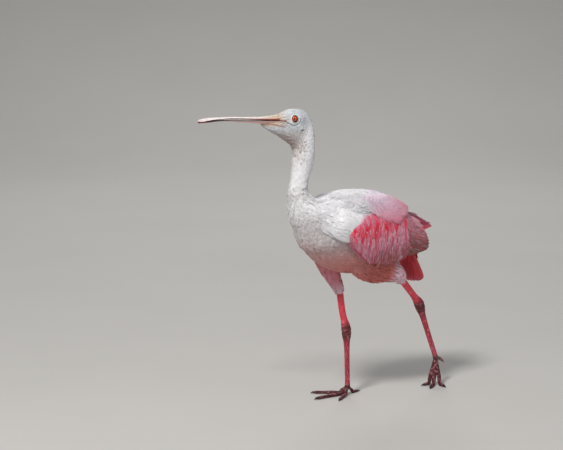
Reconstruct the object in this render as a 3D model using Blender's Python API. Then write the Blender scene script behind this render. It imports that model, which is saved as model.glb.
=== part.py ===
"""Roseate spoonbill at life size, wading with its right leg forward and its left leg trailing.

The bird heads along -X, its left side is -Y and +Z is up. It stands on the plane z = 0, and the
origin lies on that plane under the middle of the bird's bounding box. Tables are in millimetres.
Flesh is lofted round an upper and a lower profile line, and feathers lie along such a surface.
"""
import math

import bmesh
import bpy
import numpy as np

MM = 0.001
GAP = 0.3                     # between neighbouring solids
OBJECT_NAME = "roseate_spoonbill"

HEAD_YAW = math.radians(-20.0)    # the head is turned to the bird's right of the way it walks
YAW_AXIS = np.array([-115.0, 0.0])    # x and y of the upright line that the head turns about

# Stations from the chin, over the skull and down the neck, to the rump.
# Columns: upper line x and z, lower line x and z, half width, share of the head's yaw.
BODY = (
    (-172.0, 540.0, -203.0, 522.5, 6.5, 1.0),
    (-163.0, 544.0, -190.0, 512.5, 10.0, 1.0),
    (-152.0, 548.3, -174.0, 503.5, 13.5, 1.0),
    (-140.0, 549.5, -159.0, 493.5, 16.0, 1.0),
    (-127.0, 548.0, -148.0, 485.0, 17.5, 1.0),
    (-115.0, 542.0, -143.5, 479.0, 18.5, 1.0),
    (-107.5, 531.0, -142.2, 474.5, 19.5, 1.0),
    (-103.0, 517.0, -142.0, 471.0, 20.3, 1.0),
    (-100.3, 502.0, -142.0, 467.0, 20.8, 0.9),
    (-99.8, 486.0, -142.0, 461.5, 20.8, 0.7),
    (-100.5, 470.0, -142.2, 454.0, 20.8, 0.5),
    (-103.0, 450.0, -143.2, 442.0, 20.0, 0.3),
    (-109.5, 431.0, -145.8, 427.0, 18.0, 0.12),
    (-115.5, 417.0, -148.8, 414.5, 16.6, 0.0),
    (-118.0, 406.0, -151.2, 404.0, 16.7, 0.0),
    (-114.5, 396.0, -152.6, 393.0, 19.0, 0.0),
    (-105.0, 388.0, -152.0, 380.0, 24.0, 0.0),
    (-92.0, 382.0, -149.0, 364.0, 31.0, 0.0),
    (-76.0, 383.5, -142.0, 343.0, 38.5, 0.0),
    (-56.0, 388.0, -131.0, 319.0, 45.0, 0.0),
    (-33.0, 391.5, -113.0, 288.0, 49.5, 0.0),
    (-5.0, 391.0, -85.0, 262.0, 52.0, 0.0),
    (30.0, 385.5, -46.0, 243.0, 52.0, 0.0),
    (65.0, 375.0, 0.0, 234.0, 50.5, 0.0),
    (96.0, 359.0, 48.0, 232.0, 46.0, 0.0),
    (120.0, 338.0, 90.0, 240.0, 38.0, 0.0),
    (136.0, 315.0, 119.0, 255.0, 27.5, 0.0),
    (147.0, 298.0, 137.0, 270.0, 15.0, 0.0),
    (151.0, 288.0, 147.5, 280.0, 5.0, 0.0),
)
SKULL_END = 6.6               # station where the head meets the neck
NECK_MIDDLE = 12.0
NECK_END = 15.5

# The surface that the folded wings lie on, with the same columns. It runs past the rump to the tips.
WING_SHEET = (
    (-76.0, 384.0, -140.0, 330.0, 43.0, 0.0),
    (-50.0, 389.0, -118.0, 290.0, 52.0, 0.0),
    (-15.0, 389.0, -85.0, 255.0, 56.5, 0.0),
    (23.0, 384.0, -45.0, 235.0, 56.5, 0.0),
    (61.0, 374.5, 5.0, 225.0, 54.5, 0.0),
    (98.0, 359.0, 60.0, 225.0, 49.0, 0.0),
    (133.0, 339.0, 110.0, 232.0, 41.0, 0.0),
    (176.0, 321.0, 160.0, 240.0, 35.0, 0.0),
    (228.0, 302.0, 212.0, 250.0, 27.0, 0.0),
    (282.0, 284.0, 264.0, 260.0, 19.0, 0.0),
)
WING_RAISE = {"left": 0.0, "right": 16.0}    # of the sheet beyond the rump, at RAISE_TO
RAISE_FROM = 4.0
RAISE_TO = 8.0

# Bill stations from the base to the tip: x, top, mouth line, bottom, half width.
BILL = (
    (-152.0, 545.0, 528.0, 518.5, 8.0),
    (-161.0, 542.5, 529.0, 520.5, 10.4),
    (-170.0, 540.5, 529.8, 522.0, 10.8),
    (-184.0, 538.3, 530.6, 523.2, 9.8),
    (-201.0, 537.2, 531.6, 524.6, 8.8),
    (-220.0, 537.4, 532.6, 526.8, 8.2),
    (-240.0, 538.2, 533.8, 529.1, 8.6),
    (-256.0, 538.7, 534.8, 530.8, 9.8),
    (-269.0, 538.8, 535.4, 532.0, 12.2),
    (-280.0, 538.6, 535.6, 532.7, 16.6),
    (-290.0, 538.3, 535.5, 532.9, 21.2),
    (-298.9, 537.7, 535.1, 532.6, 24.6),
    (-306.9, 536.6, 534.2, 531.9, 25.2),
    (-313.1, 535.3, 533.1, 531.0, 21.8),
    (-317.1, 534.0, 532.1, 530.2, 14.0),
    (-318.6, 533.2, 531.6, 530.0, 6.0),
)
BILL_SPLIT = 0.35             # half the gap between the mandibles, at the base and at the tip
BILL_AJAR = 1.0               # what half the gap gains between them
AJAR_SPAN = (0.15, 0.45, 0.78, 0.92)    # shares of the bill where it opens, is open, and closes again
BILL_EDGE = 0.9               # thickness of each mandible's rim
BILL_ROLL = math.tan(math.radians(3.0))    # slope across the spoon, its left edge the higher
ROLL_SPAN = (0.3, 0.8)        # shares of the bill between which it takes up the roll

EYE_PLACE = np.array([-142.5, 9.6, 532.4])    # of the left eye's centre, with y taken outwards
EYE_RADIUS = 6.2
LID_RADIUS = 5.9
LID_OPENING = 4.9             # radius of the ball's rim where the lids' ring lies on it
LID_THICKNESS = 1.15
LID_DEPTH = 1.5
LID_SINK = 0.6                # how far the ring's middle lies under that rim
LID_TILT = np.array([-0.22, 0.0, 0.12])    # what turns the ring's axis forwards and up from sideways
NOSTRIL_PLACE = np.array([-180.5, 4.2, 537.2])
NOSTRIL_RADII = (3.6, 1.0, 1.3)
EAR_PLACE = np.array([-127.0, 19.5, 511.0])
EAR_RADII = (3.0, 2.6, 3.6)
GAPE_PLACE = np.array([-160.0, 13.0, 528.6])
GAPE_RADII = (7.5, 3.2, 0.8)

# Places on the wing sheet are a station and an angle in degrees from the back's midline.
# The arm lies from the wrist, low at the front, to the elbow, with its half width across.
ARM = ((0.75, 90.0, 16.0), (1.2, 90.0, 25.0), (2.0, 86.0, 27.0), (3.0, 74.0, 23.0),
       (3.9, 63.0, 17.0), (4.5, 57.0, 10.0))
ARM_LIFT = 1.5
ARM_THICKNESS = 5.5
ARM_SWELL = (0.08, 0.92)      # stretch of a half circle that the arm's thickness runs through
FOREARM = ((1.5, 92.0), (2.2, 84.0), (3.1, 70.0), (3.9, 56.0), (4.2, 44.0))
HAND = ((2.2, 99.0), (2.6, 97.0), (3.0, 94.0))

# Where the feathers of each wing end, from the wrist's side to the elbow's. The left wing droops.
PRIMARY_TIPS = {
    "left": ((5.7, 114.0), (6.4, 113.0), (6.85, 114.0), (6.85, 105.0)),
    "right": ((6.9, 98.0), (7.6, 93.0), (8.0, 84.0), (8.0, 75.0)),
}
REMEX_TIPS = {
    "left": ((2.5, 109.0), (3.15, 120.0), (3.85, 125.0), (4.55, 126.0), (5.3, 120.0), (6.1, 112.0),
             (6.8, 110.0), (6.85, 96.0), (6.7, 81.0), (6.55, 66.0), (6.3, 45.0)),
    "right": ((2.5, 108.0), (3.2, 117.0), (4.0, 120.0), (4.9, 118.0), (5.9, 112.0), (6.9, 105.0),
              (7.8, 95.0), (8.0, 81.0), (7.95, 67.0), (7.5, 50.0), (7.1, 33.0)),
}
SCAPULAR_ROOTS = ((1.9, 30.0), (2.6, 28.0), (3.3, 24.0), (3.9, 18.0))
SCAPULAR_TIPS = ((2.5, 54.0), (3.2, 62.0), (3.8, 67.0), (4.4, 66.0), (4.8, 54.0), (5.15, 41.0),
                 (5.4, 26.0))

# Feathers of each wing and of each side of the back: how many, their width, the lifts of root and tip.
PRIMARIES = (4, 18.0, (-1.7, -1.7))
REMIGES = (10, 20.0, (1.5, 1.5))
GREATER_COVERTS = (7, 21.0, (3.2, 4.8))
MEDIAN_COVERTS = (6, 22.0, (3.5, 8.1))
SCAPULARS = (7, 24.0, (-4.0, 11.6))
SCAPULAR_TOP_LIFT = 9.0       # of the tips of the scapulars nearest the midline
COVERT_SPAN = 0.85            # share of the forearm that the coverts cover
GREATER_REACH = 0.62          # share of a flight feather's length that its covert reaches
MEDIAN_REACH = 0.4

# The rise across a vane, as a slope, so that each lies under its neighbour nearer the body.
VANE_TILT = 0.09
VANE_RISE = 0.45              # share of a vane's length over which it gains its tip's lift
VANE_THICKNESS = (0.7, 0.5)   # at the root and at the tip
LONG_VANE = (0.0, 0.29, 0.58, 0.86, 1.0)
SHORT_VANE = (0.0, 0.36, 0.7, 1.0)
VANE_WIDTHS = ((0.0, 0.3, 0.7, 0.9, 1.0), (0.5, 0.85, 1.0, 0.8, 0.25))    # shares of length and width

TAIL_ROOT = np.array([136.0, 0.0, 284.0])
TAIL_TIP = np.array([160.0, 0.0, 200.0])
TAIL_ROLL = math.radians(-8.0)
TAIL_APEX = 75.0              # from the point that the tail fans from to the tail's root
TAIL_SPREAD = 13.0            # degrees from the midline to the outermost feather
TAIL_ARCH = 5.0               # how far the outermost feather lies under the middle pair
RECTRICES = 12
RECTRIX_WIDTH = 13.5
RECTRIX_STEP = 0.85           # each tail feather lies this much under its inner neighbour
RECTRIX_ROUNDING = 0.08       # share by which the outermost tail feathers are shorter
FEATHER_START = 0.02          # station of the tail's roots
ROOT_SPREAD = 0.8             # share of a tail feather's spread that its root has
# The fleshy root: station, half width, half thickness.
TAIL_FLESH = ((-0.14, 14.0, 12.0), (0.04, 16.0, 10.0), (0.2, 15.0, 6.5), (0.36, 10.0, 2.5))
TAIL_COVERTS = (-0.8, -0.4, 0.0, 0.4, 0.8)    # shares of the fan's half angle
TAIL_COVERT_WIDTH = 16.0
TAIL_COVERT_REACH = 0.46
TAIL_COVERT_LIFTS = (4.3, -5.9)
TAIL_COVERT_DROP = 1.87       # what a covert at the fan's edge would lie nearer to the feathers

# Leg lines from the hip to the joint of the toes: x, y, z, half width along the stride, half width across.
THIGHS = {
    "left": ((0.0, -20.0, 288.0, 42.0, 12.0), (14.0, -25.0, 266.0, 46.0, 13.5),
             (34.0, -27.0, 249.0, 36.0, 12.0), (61.0, -30.8, 236.5, 23.5, 14.0),
             (84.0, -30.5, 226.0, 15.5, 14.5), (99.0, -27.5, 212.5, 9.2, 9.2)),
    "right": ((-44.0, 24.0, 296.0, 34.0, 18.0), (-42.0, 27.0, 272.0, 30.0, 18.0),
              (-36.0, 28.0, 248.0, 21.0, 17.5), (-27.5, 25.0, 226.0, 14.0, 14.0),
              (-19.5, 22.5, 209.0, 10.6, 10.2), (-14.0, 20.5, 196.0, 8.4, 8.2)),
}
LEGS = {
    "left": ((95.0, -28.4, 216.2, 6.7), (114.0, -24.2, 198.6, 6.5), (129.0, -21.0, 184.6, 6.3),
             (141.0, -18.4, 173.2, 6.7), (149.0, -16.8, 165.4, 8.6), (154.6, -16.0, 158.0, 9.7),
             (158.2, -16.6, 148.0, 8.8), (161.6, -17.8, 137.0, 6.3), (168.0, -20.2, 116.0, 5.2),
             (177.0, -23.6, 87.0, 4.9), (185.0, -26.6, 62.0, 4.8), (188.4, -27.8, 50.6, 5.4)),
    "right": ((-15.0, 21.0, 201.0, 6.5), (-12.6, 19.2, 178.0, 6.3), (-10.6, 17.8, 160.0, 6.1),
              (-7.6, 16.4, 145.0, 6.4), (-5.0, 15.4, 134.6, 8.1), (-3.0, 14.8, 124.0, 9.2),
              (-2.6, 14.4, 112.0, 8.3), (-2.4, 14.2, 100.0, 6.0), (-1.8, 14.0, 78.0, 5.0),
              (-1.0, 14.0, 50.0, 4.8), (-0.2, 14.0, 25.0, 4.7), (0.0, 14.0, 14.5, 5.4)),
}
HOCK_FROM = 3.2               # station of the leg line where the hock joint starts
HOCK_TO = 7.2
FOOT_FROM = 10.5

# Toes: name, spread from the foot's heading in degrees (outwards positive), length, half width.
TOES = (
    ("inner", -36.0, 56.0, 3.5),
    ("middle", 0.0, 74.0, 3.7),
    ("outer", 42.0, 65.0, 3.5),
    ("hind", 170.0, 32.0, 2.9),
)
FOOT_TURN = {"left": math.radians(34.0), "right": math.radians(3.0)}    # outwards from the heading
TOE_REACH = {"left": 17.0, "right": 15.0}    # how far out from its joint a toe meets the floor
TOE_FLOOR = 0.9               # height of a toe's line on the floor, in half widths
TOE_SIZES = (1.1, 1.0, 1.06, 0.9, 0.8)    # shares of the half width, from the joint to the claw
TOE_PADS = 0.08               # share by which a toe swells at its three pads
HIND_DROP = (3.0, 11.0, 17.0)    # how far a lifted hind toe hangs half way, at its claw and at its tip
CLAW_LENGTH = 8.5
CLAW_SHARES = ((0.35, 0.7, 1.0), (0.62, 0.4, 0.12))    # places along a claw, and half widths there
CLAW_HUMP = 0.8
CLAW_ROOT = 0.85              # share of the toe's end that the claw starts with
CLAW_TIP = 0.25
WEB_REACH = 17.0              # how far the webs run out between the front toes
WEB_THICKNESS = 1.6
WEB_OVERLAP = 1.2             # how far a web runs past the middle line of each toe
FOOT_JOINT = (6.4, 6.0, 6.0)

# Rings along each kind of piece, and points round it.
HEAD_MESH = (15, 18)
NECK_MESH = (9, 18)
NECK_BASE_MESH = (7, 18)
TORSO_MESH = (22, 20)
ARM_MESH = (10, 12)
THIGH_MESH = (10, 14)
SHANK_MESH = (6, 12)
HOCK_MESH = (8, 12)
TARSUS_MESH = (8, 12)
TOE_MESH = (9, 8)
LID_MESH = (14, 6)
BALL_MESH = (12, 8)           # segments and rings of a ball
SMALL_BALL_MESH = (8, 6)

COLOURS = {
    "white": (0.86, 0.85, 0.86),
    "skin": (0.68, 0.70, 0.66),
    "bill": (0.66, 0.58, 0.54),
    "bill_low": (0.72, 0.50, 0.48),
    "iris": (0.75, 0.10, 0.02),
    "pink": (0.80, 0.42, 0.50),
    "crimson": (0.68, 0.02, 0.05),
    "leg": (0.60, 0.05, 0.07),
    "hock": (0.09, 0.03, 0.03),
    "claw": (0.03, 0.02, 0.02),
    "belly": (0.70, 0.42, 0.44),
}


def smooth_rows(rows, places):
    """Read a Catmull-Rom curve through rows at fractional row numbers."""
    rows = np.asarray(rows, float)
    places = np.clip(np.asarray(places, float), 0.0, len(rows) - 1.0)
    padded = np.vstack([2 * rows[0] - rows[1], rows, 2 * rows[-1] - rows[-2]])
    whole = np.minimum(places.astype(int), len(rows) - 2)
    part = (places - whole)[..., None]
    before, start, end, after = (padded[whole + i] for i in range(4))
    bend = 2 * before - 5 * start + 4 * end - after
    swing = 3 * start - before - 3 * end + after
    return 0.5 * (2 * start + (end - before) * part + bend * part**2 + swing * part**3)


def ease(value, low, high):
    """Rise smoothly from 0 at low to 1 at high."""
    share = np.clip((np.asarray(value, float) - low) / (high - low), 0.0, 1.0)
    return share * share * (3.0 - 2.0 * share)


def unit(vectors):
    """Scale vectors to length one."""
    vectors = np.asarray(vectors, float)
    return vectors / np.linalg.norm(vectors, axis=-1, keepdims=True)


def turn_head(points, share=1.0):
    """Turn points by a share of the head's yaw, about the upright line through the neck."""
    points = np.array(points, float)
    angle = HEAD_YAW * np.asarray(share, float)
    x = points[..., 0] - YAW_AXIS[0]
    y = points[..., 1] - YAW_AXIS[1]
    points[..., 0] = YAW_AXIS[0] + np.cos(angle) * x - np.sin(angle) * y
    points[..., 1] = YAW_AXIS[1] + np.sin(angle) * x + np.cos(angle) * y
    return points


class Sheet:
    """Smooth surface whose places are a station and an angle."""

    last = 1.0                # the last station

    def place(self, station, angle):
        """Return the points at places on the surface itself."""
        raise NotImplementedError

    def steps(self, station, angle):
        """Return the surface's change per station and per radian."""
        h = 0.02
        along = (self.place(station + h, angle) - self.place(station - h, angle)) / (2 * h)
        around = (self.place(station, angle + h) - self.place(station, angle - h)) / (2 * h)
        return along, around

    def point(self, station, angle, lift=0.0):
        """Return points raised off the surface by lift, along its outward normal."""
        station, angle, lift = np.broadcast_arrays(station, angle, lift)
        along, around = self.steps(np.clip(station, 0.05, self.last - 0.05), angle)
        return self.place(station, angle) + lift[..., None] * unit(np.cross(around, along))


class Hull(Sheet):
    """Closed surface round an upper and a lower line, wide by its half widths.

    An angle is 0 on the upper line and 90 degrees on the left side.
    """

    def __init__(self, rows):
        self.rows = rows
        self.last = len(rows) - 1.0

    def place(self, station, angle):
        """Return the points at places on the surface itself."""
        row = smooth_rows(self.rows, station)
        middle = 0.5 * (row[..., 0:2] + row[..., 2:4])
        reach = 0.5 * (row[..., 0:2] - row[..., 2:4])
        xz = middle + reach * np.cos(angle)[..., None]
        side = -row[..., 4] * np.sin(angle)
        return turn_head(np.stack([xz[..., 0], side, xz[..., 1]], axis=-1), row[..., 5])


class TailFan(Sheet):
    """Arched fan that the tail's feathers lie on.

    A station is a share of the tail's length, and an angle is measured from its midline, to the left.
    """

    def __init__(self):
        self.down = unit(TAIL_TIP - TAIL_ROOT)
        self.length = np.linalg.norm(TAIL_TIP - TAIL_ROOT)
        self.wide = np.array([0.0, -math.cos(TAIL_ROLL), -math.sin(TAIL_ROLL)])
        self.back = np.cross(self.wide, self.down)
        self.last = 2.0

    def place(self, station, angle):
        """Return the points at places on the surface itself."""
        reach = TAIL_APEX + station * self.length
        arch = TAIL_ARCH * (angle / math.radians(TAIL_SPREAD))**2
        ahead = (reach * np.cos(angle) - TAIL_APEX)[..., None] * self.down
        return (TAIL_ROOT + ahead + (reach * np.sin(angle))[..., None] * self.wide
                - arch[..., None] * self.back)


def material(name, colour, roughness=0.6):
    """Make a plain Principled material."""
    made = bpy.data.materials.new(name)
    made.use_nodes = True
    shader = made.node_tree.nodes["Principled BSDF"]
    shader.inputs["Base Color"].default_value = (*colour, 1.0)
    shader.inputs["Roughness"].default_value = roughness
    shader.inputs["Metallic"].default_value = 0.0
    return made


def add_object(name, points, faces, collection):
    """Make an object from points in millimetres, with its faces turned outwards."""
    mesh = bpy.data.meshes.new(name)
    mesh.from_pydata((np.asarray(points) * MM).tolist(), [], faces)
    shape = bmesh.new()
    shape.from_mesh(mesh)
    if shape.calc_volume(signed=True) < 0.0:
        bmesh.ops.reverse_faces(shape, faces=shape.faces)
    shape.to_mesh(mesh)
    shape.free()
    made = bpy.data.objects.new(name, mesh)
    collection.objects.link(made)
    return made


def loft(name, rings, collection, pointed=(False, False)):
    """Join rings of points into a closed solid.

    A pointed end closes on a vertex in its ring's middle, pushed a little outwards, and another end
    is a flat cap. Faces on the ring's second half are split the other way, so that both faces of a
    thin solid have the same triangles.
    """
    rings = np.asarray(rings, float)
    count, sides = rings.shape[:2]
    faces = []
    for i in range(count - 1):
        for j in range(sides):
            a, b = i * sides + j, i * sides + (j + 1) % sides
            c, d = b + sides, a + sides
            upper = j < sides // 2
            faces += [(a, b, c), (a, c, d)] if upper else [(a, b, d), (b, c, d)]
    points = list(rings.reshape(-1, 3))
    for end, order, push in ((0, -1, 1), (count - 1, 1, -2)):
        ring = [end * sides + j for j in range(sides)][::order]
        if pointed[0 if end == 0 else 1]:
            middle = rings[end].mean(axis=0)
            inner = rings[push].mean(axis=0)
            size = np.linalg.norm(rings[end] - middle, axis=1).mean()
            points.append(middle + unit(middle - inner) * size * 0.4)
            faces += [(ring[j], ring[(j + 1) % sides], len(points) - 1) for j in range(sides)]
        elif sides == 4:
            faces += [(ring[0], ring[1], ring[2]), (ring[0], ring[2], ring[3])]
        else:
            faces.append(tuple(ring))
    return add_object(name, points, faces, collection)


def hull_piece(name, hull, start, end, mesh_size, collection, pointed=(False, False)):
    """Loft the stretch of a hull between two stations, each end half a gap short."""
    rings, sides = mesh_size
    station = np.linspace(start, end, rings)
    angle = np.linspace(0.0, 2 * np.pi, sides, endpoint=False) + np.pi / sides
    points = hull.point(station[:, None], angle[None, :])
    for end_ring, inner, free in ((0, 1, pointed[0]), (-1, -2, pointed[1])):
        if not free:
            inwards = unit(points[inner].mean(axis=0) - points[end_ring].mean(axis=0))
            points[end_ring] += inwards * GAP / 2
    return loft(name, points, collection, pointed)


def tube_rings(line, sides, across=(0.0, 1.0, 0.0)):
    """Return rings round a line whose rows are x, y, z, half width and, if given, half width across."""
    line = np.asarray(line, float)
    spots, size = line[:, :3], line[:, 3]
    broad = line[:, 4] if line.shape[1] > 4 else size
    tangent = unit(np.gradient(spots, axis=0))
    side = unit(np.asarray(across) - (tangent @ np.asarray(across))[:, None] * tangent)
    front = np.cross(side, tangent)
    angle = np.linspace(0.0, 2 * np.pi, sides, endpoint=False)
    return (spots[:, None] + front[:, None] * (size[:, None] * np.cos(angle))[..., None]
            + side[:, None] * (broad[:, None] * np.sin(angle))[..., None])


def evaluated_mesh(source):
    """Return a new mesh of the object as its modifiers make it."""
    graph = bpy.context.evaluated_depsgraph_get()
    graph.update()
    return bpy.data.meshes.new_from_object(source.evaluated_get(graph))


def remove(made):
    """Delete an object and its mesh."""
    mesh = made.data
    bpy.data.objects.remove(made)
    bpy.data.meshes.remove(mesh)


def signed_volume(face):
    """Return six times the volume between a face and the origin."""
    corners = [vert.co for vert in face.verts]
    fan = zip(corners[1:-1], corners[2:])
    return sum(corners[0].dot(one.cross(two)) for one, two in fan)


def keep_largest(mesh):
    """Drop every closed surface of the mesh but the one of the most volume."""
    shape = bmesh.new()
    shape.from_mesh(mesh)
    left = set(shape.faces)
    parts = []
    while left:
        stack = [left.pop()]
        part = []
        while stack:
            face = stack.pop()
            part.append(face)
            near = {other for edge in face.edges for other in edge.link_faces} & left
            left -= near
            stack += near
        parts.append(part)
    parts.sort(key=lambda part: abs(sum(signed_volume(face) for face in part)))
    loose = [face for part in parts[:-1] for face in part]
    bmesh.ops.delete(shape, geom=loose, context="FACES")
    shape.to_mesh(mesh)
    shape.free()


def combine(base, others, operation, solver="MANIFOLD"):
    """Join other objects to the base or cut them from it, and remove them."""
    helpers = bpy.data.collections.new("helpers")
    bpy.context.scene.collection.children.link(helpers)
    for other in others:
        for owner in list(other.users_collection):
            owner.objects.unlink(other)
        helpers.objects.link(other)
    step = base.modifiers.new("combine", "BOOLEAN")
    step.operation = operation
    step.solver = solver
    step.operand_type = "COLLECTION"
    step.collection = helpers
    result = evaluated_mesh(base)
    base.modifiers.clear()
    old = base.data
    base.data = result
    bpy.data.meshes.remove(old)
    keep_largest(result)
    for other in list(helpers.objects):
        remove(other)
    bpy.data.collections.remove(helpers)
    return base


def swollen(source, amount, collection):
    """Copy an object with its surface moved outwards by an amount in millimetres."""
    mesh = source.data.copy()
    shape = bmesh.new()
    shape.from_mesh(mesh)
    shape.normal_update()
    moves = [vert.normal * vert.calc_shell_factor() * amount * MM for vert in shape.verts]
    for vert, move in zip(shape.verts, moves):
        vert.co += move
    shape.to_mesh(mesh)
    shape.free()
    made = bpy.data.objects.new("swollen", mesh)
    collection.objects.link(made)
    return made


def ellipsoid(name, place, radii, collection, mesh_size=BALL_MESH):
    """Make an ellipsoid from a unit sphere."""
    segments, rings = mesh_size
    shape = bmesh.new()
    bmesh.ops.create_uvsphere(shape, u_segments=segments, v_segments=rings, radius=1.0)
    mesh = bpy.data.meshes.new(name)
    for vert in shape.verts:
        vert.co = [c * r * MM + p * MM for c, r, p in zip(vert.co, radii, place)]
    shape.to_mesh(mesh)
    shape.free()
    made = bpy.data.objects.new(name, mesh)
    collection.objects.link(made)
    return made


def mirrored(place, side):
    """Give a place its side: the left is -Y."""
    x, y, z = place
    return np.array([x, -y if side == "left" else y, z])


def mandible(name, upper, collection):
    """Loft one mandible, flat at the mouth and rounded outside, and turn it with the head."""
    x, top, mouth, bottom, half = np.array(BILL).T
    along = np.linspace(0.0, 1.0, len(BILL))
    split = BILL_SPLIT + BILL_AJAR * ease(along, *AJAR_SPAN[:2]) * (1.0 - ease(along, *AJAR_SPAN[2:]))
    sign = 1.0 if upper else -1.0
    flat = mouth + sign * split
    outer = np.where(upper, top, bottom)
    across = np.array([-1.0, -0.92, -0.62, 0.0, 0.62, 0.92, 1.0])
    swell = np.sqrt(1.0 - across**2)
    rim = np.minimum(BILL_EDGE, 0.5 * np.abs(outer - flat))
    crown = flat[:, None] + sign * rim[:, None] + (outer - flat - sign * rim)[:, None] * swell
    upper_line = np.stack([np.repeat(x[:, None], 7, 1), half[:, None] * across, crown], axis=-1)
    back = across[::-2]
    lower_line = np.stack([np.repeat(x[:, None], 4, 1), half[:, None] * back,
                           np.repeat(flat[:, None], 4, 1)], axis=-1)
    rings = np.concatenate([upper_line, lower_line], axis=1)
    rings[..., 2] -= rings[..., 1] * BILL_ROLL * ease(along, *ROLL_SPAN)[:, None]
    return loft(name, turn_head(rings), collection)


def build_head(parts):
    """Make the skull with its eyes, lids, ears and the line of the mouth, and both mandibles."""
    body = Hull(BODY)
    head = hull_piece("head", body, 0.0, SKULL_END, HEAD_MESH, parts, (True, False))
    upper = mandible("bill_upper", True, parts)
    lower = mandible("bill_lower", False, parts)
    nostrils = []
    lids = []
    hollows = []
    for side in ("left", "right"):
        centre = mirrored(EYE_PLACE, side)
        ellipsoid("eye_" + side, turn_head(centre), [EYE_RADIUS] * 3, parts)
        lids.append(lid(side, centre, parts))
        hollows.append(ellipsoid("socket", turn_head(centre), [EYE_RADIUS + GAP] * 3, parts))
        ear = turn_head(mirrored(EAR_PLACE, side))
        hollows.append(ellipsoid("ear", ear, EAR_RADII, parts, SMALL_BALL_MESH))
        gape = turn_head(mirrored(GAPE_PLACE, side))
        hollows.append(ellipsoid("gape", gape, GAPE_RADII, parts, SMALL_BALL_MESH))
        nostril = turn_head(mirrored(NOSTRIL_PLACE, side))
        nostrils.append(ellipsoid("nostril", nostril, NOSTRIL_RADII, parts, SMALL_BALL_MESH))
    for mandible_part in (upper, lower):
        hollows.append(swollen(mandible_part, GAP, parts))
    combine(head, lids, "UNION")
    combine(head, hollows, "DIFFERENCE")
    combine(upper, nostrils, "DIFFERENCE")


def lid(side, centre, parts):
    """Make the ring of both lids round an eye."""
    axis = unit(np.array([0.0, -1.0 if side == "left" else 1.0, 0.0]) + LID_TILT)
    level = unit(np.cross(axis, (0.0, 0.0, 1.0)))
    steep = np.cross(level, axis)
    count, sides = LID_MESH
    angle = np.linspace(0.0, 2 * np.pi, count, endpoint=False)[:, None]
    corner = np.linspace(0.0, 2 * np.pi, sides, endpoint=False)
    out = (np.cos(angle) * level + np.sin(angle) * steep)[:, None]
    middle = centre + axis * (math.sqrt(EYE_RADIUS**2 - LID_OPENING**2) - LID_SINK)
    rings = (middle + out * (LID_RADIUS + LID_THICKNESS * np.cos(corner))[:, None]
             + axis * (LID_DEPTH * np.sin(corner))[:, None])
    return ring_solid("lid", turn_head(rings), parts)


def ring_solid(name, rings, collection):
    """Join rings of points into a closed loop with no ends."""
    count, sides = rings.shape[:2]
    faces = []
    for i in range(count):
        for j in range(sides):
            a, b = i * sides + j, i * sides + (j + 1) % sides
            c, d = (b + sides) % (count * sides), (a + sides) % (count * sides)
            faces += [(a, b, c), (a, c, d)]
    return add_object(name, rings.reshape(-1, 3), faces, collection)


def build_neck_and_torso(parts):
    """Loft the two lengths of the neck and the torso."""
    body = Hull(BODY)
    hull_piece("neck_upper", body, SKULL_END, NECK_MIDDLE, NECK_MESH, parts)
    hull_piece("neck_lower", body, NECK_MIDDLE, NECK_END, NECK_BASE_MESH, parts)
    return hull_piece("torso", body, NECK_END, len(BODY) - 1.0, TORSO_MESH, parts, (False, True))


def line_at(line, count, start=0.0, end=1.0):
    """Read a smooth line of places, given by a few of them, at even shares of its length."""
    return smooth_rows(line, np.linspace(start, end, count) * (len(line) - 1.0))


def vane(sheet, root, tip, width, lifts, shares, parts, tilt=VANE_TILT, flip=False):
    """Lay one feather's vane on a sheet, from its root's place to its tip's.

    Lifts are those of the root and the tip. The vane is a thin strip that follows the sheet, and by its tilt
    one edge is higher than the other. Flip mirrors it to the bird's other side.
    """
    share = np.array(shares)
    line = np.column_stack([root[i] + (tip[i] - root[i]) * share for i in range(2)])
    line[:, 1] = np.radians(line[:, 1])
    along, around = sheet.steps(line[:, 0], line[:, 1])
    scale = np.stack([np.linalg.norm(along, axis=-1), np.linalg.norm(around, axis=-1)], axis=-1)
    ahead = unit(np.gradient(line, axis=0) * scale)
    across = np.stack([-ahead[:, 1], ahead[:, 0]], axis=-1) / scale
    half = 0.5 * width * np.interp(share, *VANE_WIDTHS)
    lift = lifts[0] + (lifts[1] - lifts[0]) * ease(share, 0.0, VANE_RISE)
    thick = 0.5 * np.interp(share, (0.0, 1.0), VANE_THICKNESS)
    corners = []
    for edge, face in ((1, 1), (0, 1), (-1, 1), (-1, -1), (0, -1), (1, -1)):
        spot = line + edge * half[:, None] * across
        corners.append(sheet.point(spot[:, 0], spot[:, 1], lift + edge * tilt * half + face * thick))
    rings = np.stack(corners, axis=1)
    if flip:
        rings[..., 1] *= -1.0
    return loft("vane", rings, parts)


def tier(sheet, roots, tips, width, lifts, shares, parts, flip):
    """Lay a row of vanes, one from each root to the tip of the same order."""
    return [vane(sheet, root, tip, width, lifts, shares, parts, VANE_TILT, flip)
            for root, tip in zip(roots, tips)]


def wing_sheet(side):
    """Return the surface that one wing's feathers lie on."""
    rows = np.array(WING_SHEET)
    share = np.clip(np.arange(len(rows)) - RAISE_FROM, 0.0, None) / (RAISE_TO - RAISE_FROM)
    rows[:, 1] += WING_RAISE[side] * share**2
    rows[:, 3] += WING_RAISE[side] * share**2
    return Hull(rows)


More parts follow.
